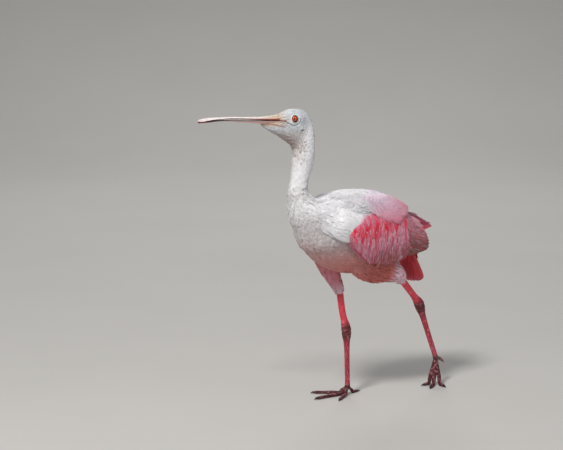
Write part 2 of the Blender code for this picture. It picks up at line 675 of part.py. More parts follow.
def build_arm(side, sheet, parts):
    """Lay the feathered arm of a wing on its sheet, thickest at the forearm."""
    rings, sides = ARM_MESH
    station, angle, half = line_at(ARM, rings).T
    angle = np.radians(angle)
    corner = np.linspace(0.0, 2 * np.pi, sides, endpoint=False)
    around = np.linalg.norm(sheet.steps(station, angle)[1], axis=-1)
    turn = angle[:, None] + (half / around)[:, None] * np.cos(corner)
    swell = np.sqrt(np.sin(np.pi * np.linspace(*ARM_SWELL, rings)))
    points = sheet.point(station[:, None], turn, ARM_LIFT + ARM_THICKNESS * swell[:, None] * np.sin(corner))
    if side == "right":
        points[..., 1] *= -1.0
    return loft("wing_" + side, points, parts, (True, True))


def build_wing(side, torso, parts):
    """Fold a wing on its sheet: the arm, and tiers of flight feathers and coverts that grow from it."""
    sheet = wing_sheet(side)
    flip = side == "right"
    arm = build_arm(side, sheet, parts)
    count, width, lifts = PRIMARIES
    vanes = tier(sheet, line_at(HAND, count), line_at(PRIMARY_TIPS[side], count), width, lifts, LONG_VANE,
                 parts, flip)
    count, width, lifts = REMIGES
    vanes += tier(sheet, line_at(FOREARM, count), line_at(REMEX_TIPS[side], count), width, lifts, LONG_VANE,
                  parts, flip)
    for (count, width, lifts), reach in ((GREATER_COVERTS, GREATER_REACH), (MEDIAN_COVERTS, MEDIAN_REACH)):
        roots = line_at(FOREARM, count, 0.0, COVERT_SPAN)
        tips = roots + reach * (line_at(REMEX_TIPS[side], count, 0.0, COVERT_SPAN) - roots)
        vanes += tier(sheet, roots, tips, width, lifts, SHORT_VANE, parts, flip)
    combine(arm, vanes, "UNION")
    return combine(arm, [swollen(torso, GAP, parts)], "DIFFERENCE")


def add_scapulars(torso, parts):
    """Grow the shoulders' long feathers from both sides of the back, over the tops of the wings."""
    sheet = Hull(WING_SHEET)
    count, width, (low, high) = SCAPULARS
    vanes = []
    for flip in (False, True):
        for i, (root, tip) in enumerate(zip(line_at(SCAPULAR_ROOTS, count), line_at(SCAPULAR_TIPS, count))):
            top = high + (SCAPULAR_TOP_LIFT - high) * max(0.0, 2.0 * i / (count - 1) - 1.0)
            vanes.append(vane(sheet, root, tip, width, (low, top), SHORT_VANE, parts, VANE_TILT, flip))
    return combine(torso, vanes, "UNION")


def build_tail(torso, parts):
    """Hang the tail from the rump: its fleshy root, twelve feathers in a fan, and their coverts."""
    fan = TailFan()
    share, half, thick = np.array(TAIL_FLESH).T
    corner = np.linspace(0.0, 2 * np.pi, 12, endpoint=False)
    rings = (TAIL_ROOT + fan.down * (share * fan.length)[:, None, None]
             + fan.wide * (half[:, None] * np.cos(corner))[..., None]
             + fan.back * (thick[:, None] * np.sin(corner))[..., None])
    tail = loft("tail", rings, parts, (True, True))
    vanes = []
    pairs = RECTRICES // 2
    for i in range(pairs):
        out = (i + 0.5) / (pairs - 0.5)
        for side in (1.0, -1.0):
            spread = side * out * TAIL_SPREAD
            tip = (1.0 - RECTRIX_ROUNDING * out**2, spread)
            lift = -RECTRIX_STEP * (i if i else -0.5 * (1.0 + side))
            vanes.append(vane(fan, (FEATHER_START, ROOT_SPREAD * spread), tip, RECTRIX_WIDTH, (lift, lift),
                              SHORT_VANE, parts, 0.0))
    for top in TAIL_COVERT_LIFTS:
        for share in TAIL_COVERTS:
            root = (FEATHER_START, ROOT_SPREAD * share * TAIL_SPREAD)
            tip = (TAIL_COVERT_REACH, share * TAIL_SPREAD)
            lift = top - math.copysign(TAIL_COVERT_DROP * abs(share), top)
            vanes.append(vane(fan, root, tip, TAIL_COVERT_WIDTH, (lift, lift), SHORT_VANE, parts, 0.0))
    combine(tail, vanes, "UNION")
    return combine(tail, [swollen(torso, GAP, parts)], "DIFFERENCE")


def leg_piece(name, line, start, end, mesh_size, parts):
    """Loft the stretch of a leg line between two stations, each end half a gap short."""
    rings, sides = mesh_size
    rows = smooth_rows(line, np.linspace(start, end, rings))
    points = tube_rings(rows, sides)
    for end_ring, inner in ((0, 1), (-1, -2)):
        inwards = unit(rows[inner, :3] - rows[end_ring, :3])
        points[end_ring] += inwards * GAP / 2
    return loft(name, points, parts)


def toe_line(side, spread, length, half):
    """Return the line of one toe and its claw, and the row where the claw starts.

    The toe drops from its joint to the floor, further out for a longer drop, and runs on along it.
    """
    base = np.array(LEGS[side][-1][:3])
    outwards = -1.0 if side == "left" else 1.0
    angle = FOOT_TURN[side] + math.radians(spread)
    heading = np.array([-math.cos(angle), outwards * math.sin(angle), 0.0])
    down = np.array([0.0, 0.0, 1.0])
    low = half * TOE_FLOOR
    if spread > 90.0 and base[2] > length:
        knots = [base, base + heading * length * 0.5, base + heading * length,
                 base + heading * (length + CLAW_LENGTH)]
        for knot, drop in zip(knots[1:], HIND_DROP):
            knot -= down * drop
        sizes = [half, half, TOE_SIZES[-1] * half, CLAW_TIP]
    else:
        touch = base + heading * min(TOE_REACH[side], length * 0.5)
        touch[2] = low
        rest = max(length - np.linalg.norm(touch - base), length * 0.2)
        knots = [base, 0.45 * base + 0.55 * touch + heading * 2.0, touch, touch + heading * rest * 0.5,
                 touch + heading * rest, touch + heading * (rest + CLAW_LENGTH)]
        knots[-2][2] = 0.78 * low
        knots[-1][2] = 0.6
        sizes = [share * half for share in TOE_SIZES] + [CLAW_TIP]
    rows = np.column_stack([knots, sizes])
    ends = len(rows) - 2.0
    count = TOE_MESH[0]
    toe = smooth_rows(rows, np.linspace(0.0, ends, count))
    toe[:, 3] *= 1.0 + TOE_PADS * np.cos(np.linspace(0.0, 6 * np.pi, count))
    places, sizes = np.array(CLAW_SHARES)
    claw = smooth_rows(rows, ends + places)
    claw[:, 3] = half * sizes
    claw[1, 2] += CLAW_HUMP
    return np.vstack([toe, claw]), len(toe)


def web(ends, base, parts):
    """Stretch a small web between two toes, from their joint outwards.

    It runs a little past the middle line of each toe, so that the webs on both sides of a toe overlap.
    """
    past = unit(ends[1] - ends[0]) * WEB_OVERLAP
    outline = [base - past, ends[0] - past, 0.25 * base + 0.375 * (ends[0] + ends[1]), ends[1] + past,
               base + past]
    rings = []
    for lift in (-0.5, 0.5):
        ring = np.array(outline)
        ring[:, 2] += lift * WEB_THICKNESS
        rings.append(ring)
    return loft("web", rings, parts)


def build_foot(side, parts):
    """Make the joined toes of one foot, flat where they meet the floor, and each toe's claw."""
    base = np.array(LEGS[side][-1][:3])
    toes = []
    web_ends = []
    for toe, spread, length, half in TOES:
        line, split = toe_line(side, spread, length, half)
        rings = tube_rings(line, TOE_MESH[1], (math.sin(math.radians(spread)), 1.0, 0.0))
        rings[..., 2] = np.maximum(rings[..., 2], 0.0)
        toes.append(loft("toe", rings[:split], parts))
        claw_rings = rings[split - 1:].copy()
        ahead = unit(line[split, :3] - line[split - 1, :3])
        middle = line[split - 1, :3]
        claw_rings[0] = middle + (claw_rings[0] - middle) * CLAW_ROOT + ahead * GAP
        claw_rings[..., 2] = np.maximum(claw_rings[..., 2], 0.0)
        loft(f"claw_{side}_{toe}", claw_rings, parts)
        if spread < 90.0:
            web_ends.append(line[:split, :3][np.linalg.norm(line[:split, :3] - base, axis=1) > WEB_REACH][0])
    webs = [web(web_ends[i:i + 2], base, parts) for i in range(2)]
    knob = ellipsoid("foot_" + side, base - np.array([0.0, 0.0, 1.0]), FOOT_JOINT, parts, (10, 7))
    foot = combine(knob, toes + webs, "UNION")
    ankle = leg_piece("cutter", LEGS[side], FOOT_FROM - 0.6, len(LEGS[side]) - 1.0, (4, 10), parts)
    combine(foot, [swollen(ankle, GAP, parts)], "DIFFERENCE")
    remove(ankle)


def build_leg(side, torso, parts):
    """Make the feathered thigh, the bare shank, the hock, the tarsus and the foot."""
    count, sides = THIGH_MESH
    rows = smooth_rows(THIGHS[side], np.linspace(0.0, len(THIGHS[side]) - 1.0, count))
    thigh = loft("thigh_" + side, tube_rings(rows, sides), parts)
    line = LEGS[side]
    shank = leg_piece("shank_" + side, line, 0.0, HOCK_FROM, SHANK_MESH, parts)
    combine(thigh, [swollen(torso, GAP, parts), swollen(shank, GAP, parts)], "DIFFERENCE")
    leg_piece("hock_" + side, line, HOCK_FROM, HOCK_TO, HOCK_MESH, parts)
    leg_piece("tarsus_" + side, line, HOCK_TO, len(line) - 1.0, TARSUS_MESH, parts)
    build_foot(side, parts)


def colour_of(name):
    """Return the colour's name and the roughness of a node."""
    for start, colour, roughness in (
            ("head", "skin", 0.6), ("bill_upper", "bill", 0.45), ("bill_lower", "bill_low", 0.45),
            ("eye", "iris", 0.1), ("wing", "pink", 0.7), ("tail", "crimson", 0.7),
            ("thigh", "belly", 0.8), ("hock", "hock", 0.5), ("shank", "leg", 0.5),
            ("tarsus", "leg", 0.5), ("foot", "hock", 0.5), ("claw", "claw", 0.35)):
        if name.startswith(start):
            return colour, roughness
    return "white", 0.8


def centre_on_floor(parts):
    """Move all pieces so that the origin is under the middle of their bounding box, on the floor."""
    corners = np.array([list(v.co) for made in parts.objects for v in made.data.vertices])
    low, high = corners.min(axis=0), corners.max(axis=0)
    shift = np.array([-(low[0] + high[0]) / 2, -(low[1] + high[1]) / 2, -low[2]])
    for made in parts.objects:
        for vert in made.data.vertices:
            vert.co = [c + s for c, s in zip(vert.co, shift)]
        made.data.update()


def main():
    """Build the whole bird."""
    for old in list(bpy.data.objects):
        bpy.data.objects.remove(old)
    parts = bpy.data.collections.new(OBJECT_NAME)
    bpy.context.scene.collection.children.link(parts)
    build_head(parts)
    torso = build_neck_and_torso(parts)
    build_tail(torso, parts)
    for side in ("left", "right"):
        build_leg(side, torso, parts)
    add_scapulars(torso, parts)
    for side in ("left", "right"):
        build_wing(side, torso, parts)
    centre_on_floor(parts)
    for made in parts.objects:
        colour, roughness = colour_of(made.name)
        made.data.materials.clear()
        made.data.materials.append(material(made.name, COLOURS[colour], roughness))
        for face in made.data.polygons:
            face.use_smooth = True


if __name__ == "__main__":
    main()
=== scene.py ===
"""Roseate spoonbill: skin, bill, eyes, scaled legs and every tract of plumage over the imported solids.

The bird heads along -X, its left side is -Y and +Z is up. Lengths in the tables are millimetres.
Feathers lie on smooth sheets whose places are a station along the body and an angle round it.
"""
import logging
import math
from dataclasses import dataclass, field
from enum import Enum
from typing import Callable, Optional, Sequence

import bpy
import numpy as np
from mathutils import Matrix, Vector


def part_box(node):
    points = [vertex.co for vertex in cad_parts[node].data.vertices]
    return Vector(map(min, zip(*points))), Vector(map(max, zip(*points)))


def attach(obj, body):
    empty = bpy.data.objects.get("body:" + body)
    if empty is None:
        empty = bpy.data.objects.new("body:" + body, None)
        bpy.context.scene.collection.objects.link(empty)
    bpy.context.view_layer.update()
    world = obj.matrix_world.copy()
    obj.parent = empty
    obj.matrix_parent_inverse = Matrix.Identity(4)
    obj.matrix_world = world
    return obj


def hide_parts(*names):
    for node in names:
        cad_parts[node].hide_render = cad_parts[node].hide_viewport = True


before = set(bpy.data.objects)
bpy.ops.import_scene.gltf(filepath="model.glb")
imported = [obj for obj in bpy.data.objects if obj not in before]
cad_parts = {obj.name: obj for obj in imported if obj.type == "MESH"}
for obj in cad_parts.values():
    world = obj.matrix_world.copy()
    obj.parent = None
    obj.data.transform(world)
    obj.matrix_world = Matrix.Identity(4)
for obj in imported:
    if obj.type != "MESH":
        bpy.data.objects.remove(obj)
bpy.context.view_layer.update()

LOG = logging.getLogger("spoonbill")
MM = 0.001
Array = np.ndarray
Colour = tuple[float, float, float]

CREASE = math.radians(55)    # faces that meet more sharply than this are shaded apart

HEAD_YAW = math.radians(-20)
YAW_AXIS = np.array([-115, 0])
IN_RADIANS = np.array([1, math.pi / 180])    # turns a place's angle from degrees

# Stations from the chin to the rump: upper line x and z, lower line x and z, half width, yaw share.
BODY_ROWS = (
    (-172, 540, -203, 522.5, 6.5, 1),
    (-163, 544, -190, 512.5, 10, 1),
    (-152, 548.3, -174, 503.5, 13.5, 1),
    (-140, 549.5, -159, 493.5, 16, 1),
    (-127, 548, -148, 485, 17.5, 1),
    (-115, 542, -143.5, 479, 18.5, 1),
    (-107.5, 531, -142.2, 474.5, 19.5, 1),
    (-103, 517, -142, 471, 20.3, 1),
    (-100.3, 502, -142, 467, 20.8, 0.9),
    (-99.8, 486, -142, 461.5, 20.8, 0.7),
    (-100.5, 470, -142.2, 454, 20.8, 0.5),
    (-103, 450, -143.2, 442, 20, 0.3),
    (-109.5, 431, -145.8, 427, 18, 0.12),
    (-115.5, 417, -148.8, 414.5, 16.6, 0),
    (-118, 406, -151.2, 404, 16.7, 0),
    (-114.5, 396, -152.6, 393, 19, 0),
    (-105, 388, -152, 380, 24, 0),
    (-92, 382, -149, 364, 31, 0),
    (-76, 383.5, -142, 343, 38.5, 0),
    (-56, 388, -131, 319, 45, 0),
    (-33, 391.5, -113, 288, 49.5, 0),
    (-5, 391, -85, 262, 52, 0),
    (30, 385.5, -46, 243, 52, 0),
    (65, 375, 0, 234, 50.5, 0),
    (96, 359, 48, 232, 46, 0),
    (120, 338, 90, 240, 38, 0),
    (136, 315, 119, 255, 27.5, 0),
    (147, 298, 137, 270, 15, 0),
    (151, 288, 147.5, 280, 5, 0),
)
# The surface that a folded wing lies on, in the same columns, past the rump to the wing's tip.
WING_ROWS = (
    (-76, 384, -140, 330, 43, 0),
    (-50, 389, -118, 290, 52, 0),
    (-15, 389, -85, 255, 56.5, 0),
    (23, 384, -45, 235, 56.5, 0),
    (61, 374.5, 5, 225, 54.5, 0),
    (98, 359, 60, 225, 49, 0),
    (133, 339, 110, 232, 41, 0),
    (176, 321, 160, 240, 35, 0),
    (228, 302, 212, 250, 27, 0),
    (282, 284, 264, 260, 19, 0),
)
RAISE_FROM, RAISE_TO = 4, 8

# Bill stations from the base to the tip: x, top, mouth line, bottom, half width.
BILL_ROWS = (
    (-152, 545, 528, 518.5, 8),
    (-161, 542.5, 529, 520.5, 10.4),
    (-170, 540.5, 529.8, 522, 10.8),
    (-184, 538.3, 530.6, 523.2, 9.8),
    (-201, 537.2, 531.6, 524.6, 8.8),
    (-220, 537.4, 532.6, 526.8, 8.2),
    (-240, 538.2, 533.8, 529.1, 8.6),
    (-256, 538.7, 534.8, 530.8, 9.8),
    (-269, 538.8, 535.4, 532, 12.2),
    (-280, 538.6, 535.6, 532.7, 16.6),
    (-290, 538.3, 535.5, 532.9, 21.2),
    (-298.9, 537.7, 535.1, 532.6, 24.6),
    (-306.9, 536.6, 534.2, 531.9, 25.2),
    (-313.1, 535.3, 533.1, 531, 21.8),
    (-317.1, 534, 532.1, 530.2, 14),
    (-318.6, 533.2, 531.6, 530, 6),
)

# Leg lines from the hip to the joint of the toes: x, y, z, half width along the stride and across.
THIGH_ROWS = {
    "left": ((0, -20, 288, 42, 12), (14, -25, 266, 46, 13.5),
             (34, -27, 249, 36, 12), (61, -30.8, 236.5, 23.5, 14),
             (84, -30.5, 226, 15.5, 14.5), (99, -27.5, 212.5, 9.2, 9.2)),
    "right": ((-44, 24, 296, 34, 18), (-42, 27, 272, 30, 18),
              (-36, 28, 248, 21, 17.5), (-27.5, 25, 226, 14, 14),
              (-19.5, 22.5, 209, 10.6, 10.2), (-14, 20.5, 196, 8.4, 8.2)),
}
LEG_ROWS = {
    "left": ((95, -28.4, 216.2, 6.7), (114, -24.2, 198.6, 6.5), (129, -21, 184.6, 6.3),
             (141, -18.4, 173.2, 6.7), (149, -16.8, 165.4, 8.6), (154.6, -16, 158, 9.7),
             (158.2, -16.6, 148, 8.8), (161.6, -17.8, 137, 6.3), (168, -20.2, 116, 5.2),
             (177, -23.6, 87, 4.9), (185, -26.6, 62, 4.8), (188.4, -27.8, 50.6, 5.4)),
    "right": ((-15, 21, 201, 6.5), (-12.6, 19.2, 178, 6.3), (-10.6, 17.8, 160, 6.1),
              (-7.6, 16.4, 145, 6.4), (-5, 15.4, 134.6, 8.1), (-3, 14.8, 124, 9.2),
              (-2.6, 14.4, 112, 8.3), (-2.4, 14.2, 100, 6), (-1.8, 14, 78, 5),
              (-1, 14, 50, 4.8), (-0.2, 14, 25, 4.7), (0, 14, 14.5, 5.4)),
}
# Toes: name, spread from the foot's heading in degrees, length, half width.
TOE_ROWS = (
    ("inner", -36, 56, 3.5),
    ("middle", 0, 74, 3.7),
    ("outer", 42, 65, 3.5),
    ("hind", 170, 32, 2.9),
)
CLAW_LENGTH = 8.5

# Places on a wing's sheet, each a station and an angle in degrees from the back's midline.
FOREARM = ((1.5, 92), (2.2, 84), (3.1, 70), (3.9, 56), (4.2, 44))
HAND = ((2.2, 99), (2.6, 97), (3, 94))
# Upper and lower edge of the plumage that hangs over the forearm.
HANG_ROOTS = ((1.78, 91), (1.85, 81), (2.1, 74), (2.6, 63), (3.1, 57), (3.65, 54), (4.25, 51),
              (4.7, 45))
HANG_TIPS = ((2.2, 106), (2.55, 111), (2.95, 115), (3.35, 122), (3.8, 124.5), (4.4, 127), (4.95, 125),
             (5.5, 118))
ARM = ((0.75, 90, 16), (1.2, 90, 25), (2, 86, 27), (3, 74, 23),
       (3.9, 63, 17), (4.5, 57, 10))


class Side(Enum):
    """A side of the bird; the sign is that of Y."""

    LEFT = -1
    RIGHT = 1

    @property
    def word(self) -> str:
        """Return the side's name as the nodes spell it."""
        return self.name.lower()


PRIMARY_TIPS = {
    Side.LEFT: ((5.7, 114), (6.4, 113), (6.85, 114), (6.85, 105)),
    Side.RIGHT: ((6.9, 98), (7.6, 93), (8, 84), (8, 75)),
}
REMEX_TIPS = {
    Side.LEFT: ((2.5, 109), (3.15, 120), (3.85, 125), (4.55, 126), (5.3, 120), (6.1, 112),
                (6.8, 110), (6.85, 96), (6.7, 81), (6.55, 66), (6.3, 45)),
    Side.RIGHT: ((2.5, 108), (3.2, 117), (4, 120), (4.9, 118), (5.9, 112), (6.9, 105),
                 (7.8, 95), (8, 81), (7.95, 67), (7.5, 50), (7.1, 33)),
}
SCAPULAR_ROOTS = ((1.9, 30), (2.6, 28), (3.3, 24), (3.9, 18))
SCAPULAR_TIPS = ((2.5, 54), (3.2, 62), (3.8, 67), (4.4, 66), (4.8, 54), (5.15, 41),
                 (5.4, 26))


def smooth_rows(rows: Sequence[Sequence[float]], places: Array | float) -> Array:
    """Read a Catmull-Rom curve through rows at fractional row numbers.

    Args:
        rows: Rows of numbers that the curve passes through.
        places: Row numbers to read at, in an array of any shape.

    Returns:
        The rows at those places, along a last axis.
    """
    rows = np.asarray(rows, float)
    places = np.clip(np.asarray(places, float), 0, len(rows) - 1)
    padded = np.vstack([2 * rows[0] - rows[1], rows, 2 * rows[-1] - rows[-2]])
    whole = np.minimum(places.astype(int), len(rows) - 2)
    part = (places - whole)[..., None]
    before, start, end, after = (padded[whole + i] for i in range(4))
    bend = 2 * before - 5 * start + 4 * end - after
    swing = 3 * start - before - 3 * end + after
    return 0.5 * (2 * start + (end - before) * part + bend * part**2 + swing * part**3)


def unit(vectors: Array) -> Array:
    """Scale vectors to length one."""
    vectors = np.asarray(vectors, float)
    return vectors / np.maximum(np.linalg.norm(vectors, axis=-1, keepdims=True), 1e-12)


def circle(count: int) -> Array:
    """Return angles an even way apart round a full turn, the last short of the first."""
    return np.linspace(0, 2 * np.pi, count, endpoint=False)


def ease(value: Array | float, low: float, high: float) -> Array:
    """Rise smoothly from 0 at low to 1 at high, also where high is the smaller."""
    share = np.clip((np.asarray(value, float) - low) / (high - low), 0, 1)
    return share * share * (3 - 2 * share)


def bump(value: Array, centre: float, width: float) -> Array:
    """Return a bell of height one round a centre."""
    return np.exp(-((value - centre) / width) ** 2)


def linear(red: float, green: float, blue: float) -> Array:
    """Turn a colour from 0..255 screen values to linear shares, by the 2.2 power."""
    return (np.array([red, green, blue]) / 255) ** 2.2


def turn_head(points: Array, share: Array | float = 1.0) -> Array:
    """Turn points by a share of the head's yaw, about the upright line through the neck."""
    points = np.array(points, float)
    angle = HEAD_YAW * np.asarray(share, float)
    x = points[..., 0] - YAW_AXIS[0]
    y = points[..., 1] - YAW_AXIS[1]
    points[..., 0] = YAW_AXIS[0] + np.cos(angle) * x - np.sin(angle) * y
    points[..., 1] = YAW_AXIS[1] + np.sin(angle) * x + np.cos(angle) * y
    return points


EYE_PLACE = np.array([-142.5, 9.6, 532.4])
EYE_RADIUS = 6.2


def frame_shift() -> Array:
    """Return what brings the tables' coordinates, in metres, to the frame's, from the left eye's box."""
    low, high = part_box("eye_left")
    middle = (np.array(low) + np.array(high)) / 2
    return middle - turn_head(EYE_PLACE * [1, -1, 1]) * MM


SHIFT = frame_shift()


class Sheet:
    """Smooth surface whose places are a station and an angle in radians."""

    last: float = 1.0

    def place(self, station: Array, angle: Array) -> Array:
        """Return the points at places on the surface itself."""
        raise NotImplementedError

    def steps(self, station: Array, angle: Array) -> tuple[Array, Array]:
        """Return the surface's change per station and per radian, from central differences."""
        h = 0.02
        along = (self.place(station + h, angle) - self.place(station - h, angle)) / (2 * h)
        around = (self.place(station, angle + h) - self.place(station, angle - h)) / (2 * h)
        return along, around

    def point(self, station: Array, angle: Array, lift: Array | float = 0.0) -> Array:
        """Return points raised off the surface by a lift, along the cross of its two changes."""
        station, angle, lift = np.broadcast_arrays(station, angle, lift)
        along, around = self.steps(np.clip(station, 0.05, self.last - 0.05), angle)
        return self.place(station, angle) + lift[..., None] * unit(np.cross(around, along))

    def scales(self, station: Array, angle: Array) -> tuple[Array, Array]:
        """Return how many millimetres one station and one radian are."""
        along, around = self.steps(np.clip(station, 0.05, self.last - 0.05), angle)
        return np.linalg.norm(along, axis=-1), np.linalg.norm(around, axis=-1)


class Hull(Sheet):
    """Loft of ellipses, each between an upper and a lower point of the bird's middle plane.

    A point is the ellipse's middle, plus its upright reach times the angle's cosine, and stands
    aside by the half width times the sine, to the left. The head's yaw then turns it.
    """

    def __init__(self, rows: Sequence[Sequence[float]]) -> None:
        self.rows = np.array(rows, float)
        self.last = len(rows) - 1

    def place(self, station: Array, angle: Array) -> Array:
        """Return the points at places on the surface itself."""
        row = smooth_rows(self.rows, station)
        middle = 0.5 * (row[..., 0:2] + row[..., 2:4])
        reach = 0.5 * (row[..., 0:2] - row[..., 2:4])
        xz = middle + reach * np.cos(angle)[..., None]
        side = -row[..., 4] * np.sin(angle)
        return turn_head(np.stack([xz[..., 0], side, xz[..., 1]], axis=-1), row[..., 5])


class Tube(Sheet):
    """Loft of ellipses square to a line, for thighs. The angle runs from the back over the left."""

    def __init__(self, rows: Sequence[Sequence[float]]) -> None:
        self.rows = np.array(rows, float)
        self.last = len(rows) - 1

    def place(self, station: Array, angle: Array) -> Array:
        """Return the points at places: the line's, plus front and side vectors by cosine and sine."""
        row = smooth_rows(self.rows, station)
        h = 0.05
        ahead = smooth_rows(self.rows, np.asarray(station) + h)[..., :3]
        behind = smooth_rows(self.rows, np.asarray(station) - h)[..., :3]
        tangent = unit(ahead - behind)
        left = np.array([0, -1, 0])
        side = unit(left - (tangent @ left)[..., None] * tangent)
        front = np.cross(side, tangent)
        return (row[..., :3] + front * (row[..., 3] * np.cos(angle))[..., None]
                + side * (row[..., 4] * np.sin(angle))[..., None])


class TailFan(Sheet):
    """Arched fan of the tail: a station is a share of its length, an angle its spread to the left."""

    root = np.array([136, 0, 284])
    tip = np.array([160, 0, 200])
    roll = math.radians(-8)
    apex = 75
    spread = math.radians(13)
    arch = 5
    last = 2

    def place(self, station: Array, angle: Array) -> Array:
        """Return the points at places: out from the apex by polar steps, sunk by the square of the spread."""
        down = unit(self.tip - self.root)
        length = np.linalg.norm(self.tip - self.root)
        wide = np.array([0, -math.cos(self.roll), -math.sin(self.roll)])
        back = np.cross(wide, down)
        reach = self.apex + station * length
        sunk = self.arch * (angle / self.spread) ** 2
        ahead = (reach * np.cos(angle) - self.apex)[..., None] * down
        return self.root + ahead + (reach * np.sin(angle))[..., None] * wide - sunk[..., None] * back


def wing_sheet(side: Side) -> Hull:
    """Return the surface a wing's feathers lie on, raised by a square law towards the right wing's tip."""
    rows = np.array(WING_ROWS)
    share = np.clip(np.arange(len(rows)) - RAISE_FROM, 0, None) / (RAISE_TO - RAISE_FROM)
    lift = (16 if side is Side.RIGHT else 0) * share**2
    rows[:, 1] += lift
    rows[:, 3] += lift
    return Hull(rows)


class Slot(Enum):
    """The record's material slots."""

    FACE = "face_skin"
    BILL_TOP = "bill_upper"
    BILL_BOTTOM = "bill_lower"
    EYE = "eye"
    WHITE = "white_plumage"
    PINK = "pink_plumage"
    CRIMSON = "crimson_plumage"
    ROSE = "rose_plumage"
    LEG = "leg_skin"
    CLAW = "claw"


@dataclass
class Surface:
    """Points in millimetres with faces, and what its finish reads."""

    points: Array
    quads: Array
    triangles: Optional[Array] = None
    tint: Optional[Array] = None
    vane: Optional[Array] = None
    bake: Optional[Array] = None

    def volume(self) -> float:
        """Return the volume, as the sum over faces of the triple product with the first point."""
        start = self.points[0]
        a, b, c, d = (self.points[self.quads[:, i]] - start for i in range(4))
        total = np.einsum("ij,ij->", a, np.cross(b, c)) + np.einsum("ij,ij->", a, np.cross(c, d))
        if self.triangles is not None and len(self.triangles):
            a, b, c = (self.points[self.triangles[:, i]] - start for i in range(3))
            total += np.einsum("ij,ij->", a, np.cross(b, c))
        return float(total) / 6

    def outwards(self) -> "Surface":
        """Turn every face round if the volume is negative."""
        if self.volume() < 0:
            self.quads = self.quads[:, ::-1]
            if self.triangles is not None:
                self.triangles = self.triangles[:, ::-1]
        return self


def join(surfaces: Sequence[Surface]) -> Surface:
    """Put several surfaces in one, their point numbers run on."""
    offset = 0
    quads, triangles = [], []
    for each in surfaces:
        quads.append(each.quads + offset)
        if each.triangles is not None and len(each.triangles):
            triangles.append(each.triangles + offset)
        offset += len(each.points)

    def stacked(name: str) -> Optional[Array]:
        found = [getattr(each, name) for each in surfaces]
        return None if any(part is None for part in found) else np.concatenate(found)

    return Surface(np.concatenate([each.points for each in surfaces]), np.concatenate(quads),
                   np.concatenate(triangles) if triangles else None, stacked("tint"), stacked("vane"),
                   stacked("bake"))


def add_piece(name: str, surface: Surface, finish: bpy.types.Material, slot: Slot,
              replaced: Sequence[str] = ()) -> bpy.types.Object:
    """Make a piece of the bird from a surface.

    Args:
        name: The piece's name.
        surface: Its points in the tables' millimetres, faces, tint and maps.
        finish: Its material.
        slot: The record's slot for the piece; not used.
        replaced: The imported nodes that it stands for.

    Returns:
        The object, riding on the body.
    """
    mesh = bpy.data.meshes.new(name)
    points = surface.points * MM + SHIFT
    mesh.vertices.add(len(points))
    mesh.vertices.foreach_set("co", points.astype(np.float32).ravel())
    triangles = surface.triangles if surface.triangles is not None else np.zeros((0, 3), int)
    corners = np.concatenate([surface.quads.ravel(), triangles.ravel()]).astype(np.int32)
    sizes = np.concatenate([np.full(len(surface.quads), 4), np.full(len(triangles), 3)])
    starts = np.concatenate([[0], np.cumsum(sizes)[:-1]]).astype(np.int32)
    mesh.loops.add(len(corners))
    mesh.loops.foreach_set("vertex_index", corners)
    mesh.polygons.add(len(sizes))
    mesh.polygons.foreach_set("loop_start", starts)
    mesh.polygons.foreach_set("use_smooth", np.ones(len(sizes), bool))
    for label, values in (("OFBake", surface.bake), ("Vane", surface.vane)):
        if values is not None:
            layer = mesh.uv_layers.new(name=label)
            layer.data.foreach_set("uv", values[corners].astype(np.float32).ravel())
    if surface.tint is not None:
        layer = mesh.color_attributes.new("Tint", "FLOAT_COLOR", "POINT")
        alpha = np.ones((len(points), 1))
        layer.data.foreach_set("color", np.hstack([surface.tint, alpha]).astype(np.float32).ravel())
    mesh.update()
    mesh.validate()
    mesh.set_sharp_from_angle(angle=CREASE)
    mesh.materials.append(finish)
    piece = bpy.data.objects.new(name, mesh)
    bpy.context.scene.collection.objects.link(piece)
    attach(piece, "root")
    if replaced:
        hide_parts(*replaced)
    LOG.info("%s: %d points, %d faces", name, len(points), len(sizes))
    return piece


def tube(rings: Array, tint: Optional[Array] = None) -> Surface:
    """Join rings of points, rows by points round, into a closed surface with a fan at each end.

    Args:
        rings: Points of shape (rows, around, 3).
        tint: Colours of the same shape.

    Returns:
        The surface, with its ends' middles as two more points.
    """
    rows, around = rings.shape[:2]
    number = np.arange(rows * around).reshape(rows, around)
    after = np.roll(number, -1, axis=1)
    quads = np.stack([number[:-1], after[:-1], after[1:], number[1:]], axis=-1).reshape(-1, 4)
    first, last = rows * around, rows * around + 1
    points = np.concatenate([rings.reshape(-1, 3), rings[0].mean(axis=0)[None], rings[-1].mean(axis=0)[None]])
    fans = np.concatenate([
        np.stack([after[0], number[0], np.full(around, first)], axis=-1),
        np.stack([number[-1], after[-1], np.full(around, last)], axis=-1)])
    if tint is not None:
        tint = np.concatenate([tint.reshape(-1, 3), tint[0].mean(axis=0)[None], tint[-1].mean(axis=0)[None]])
    return Surface(points, quads, fans, tint).outwards()


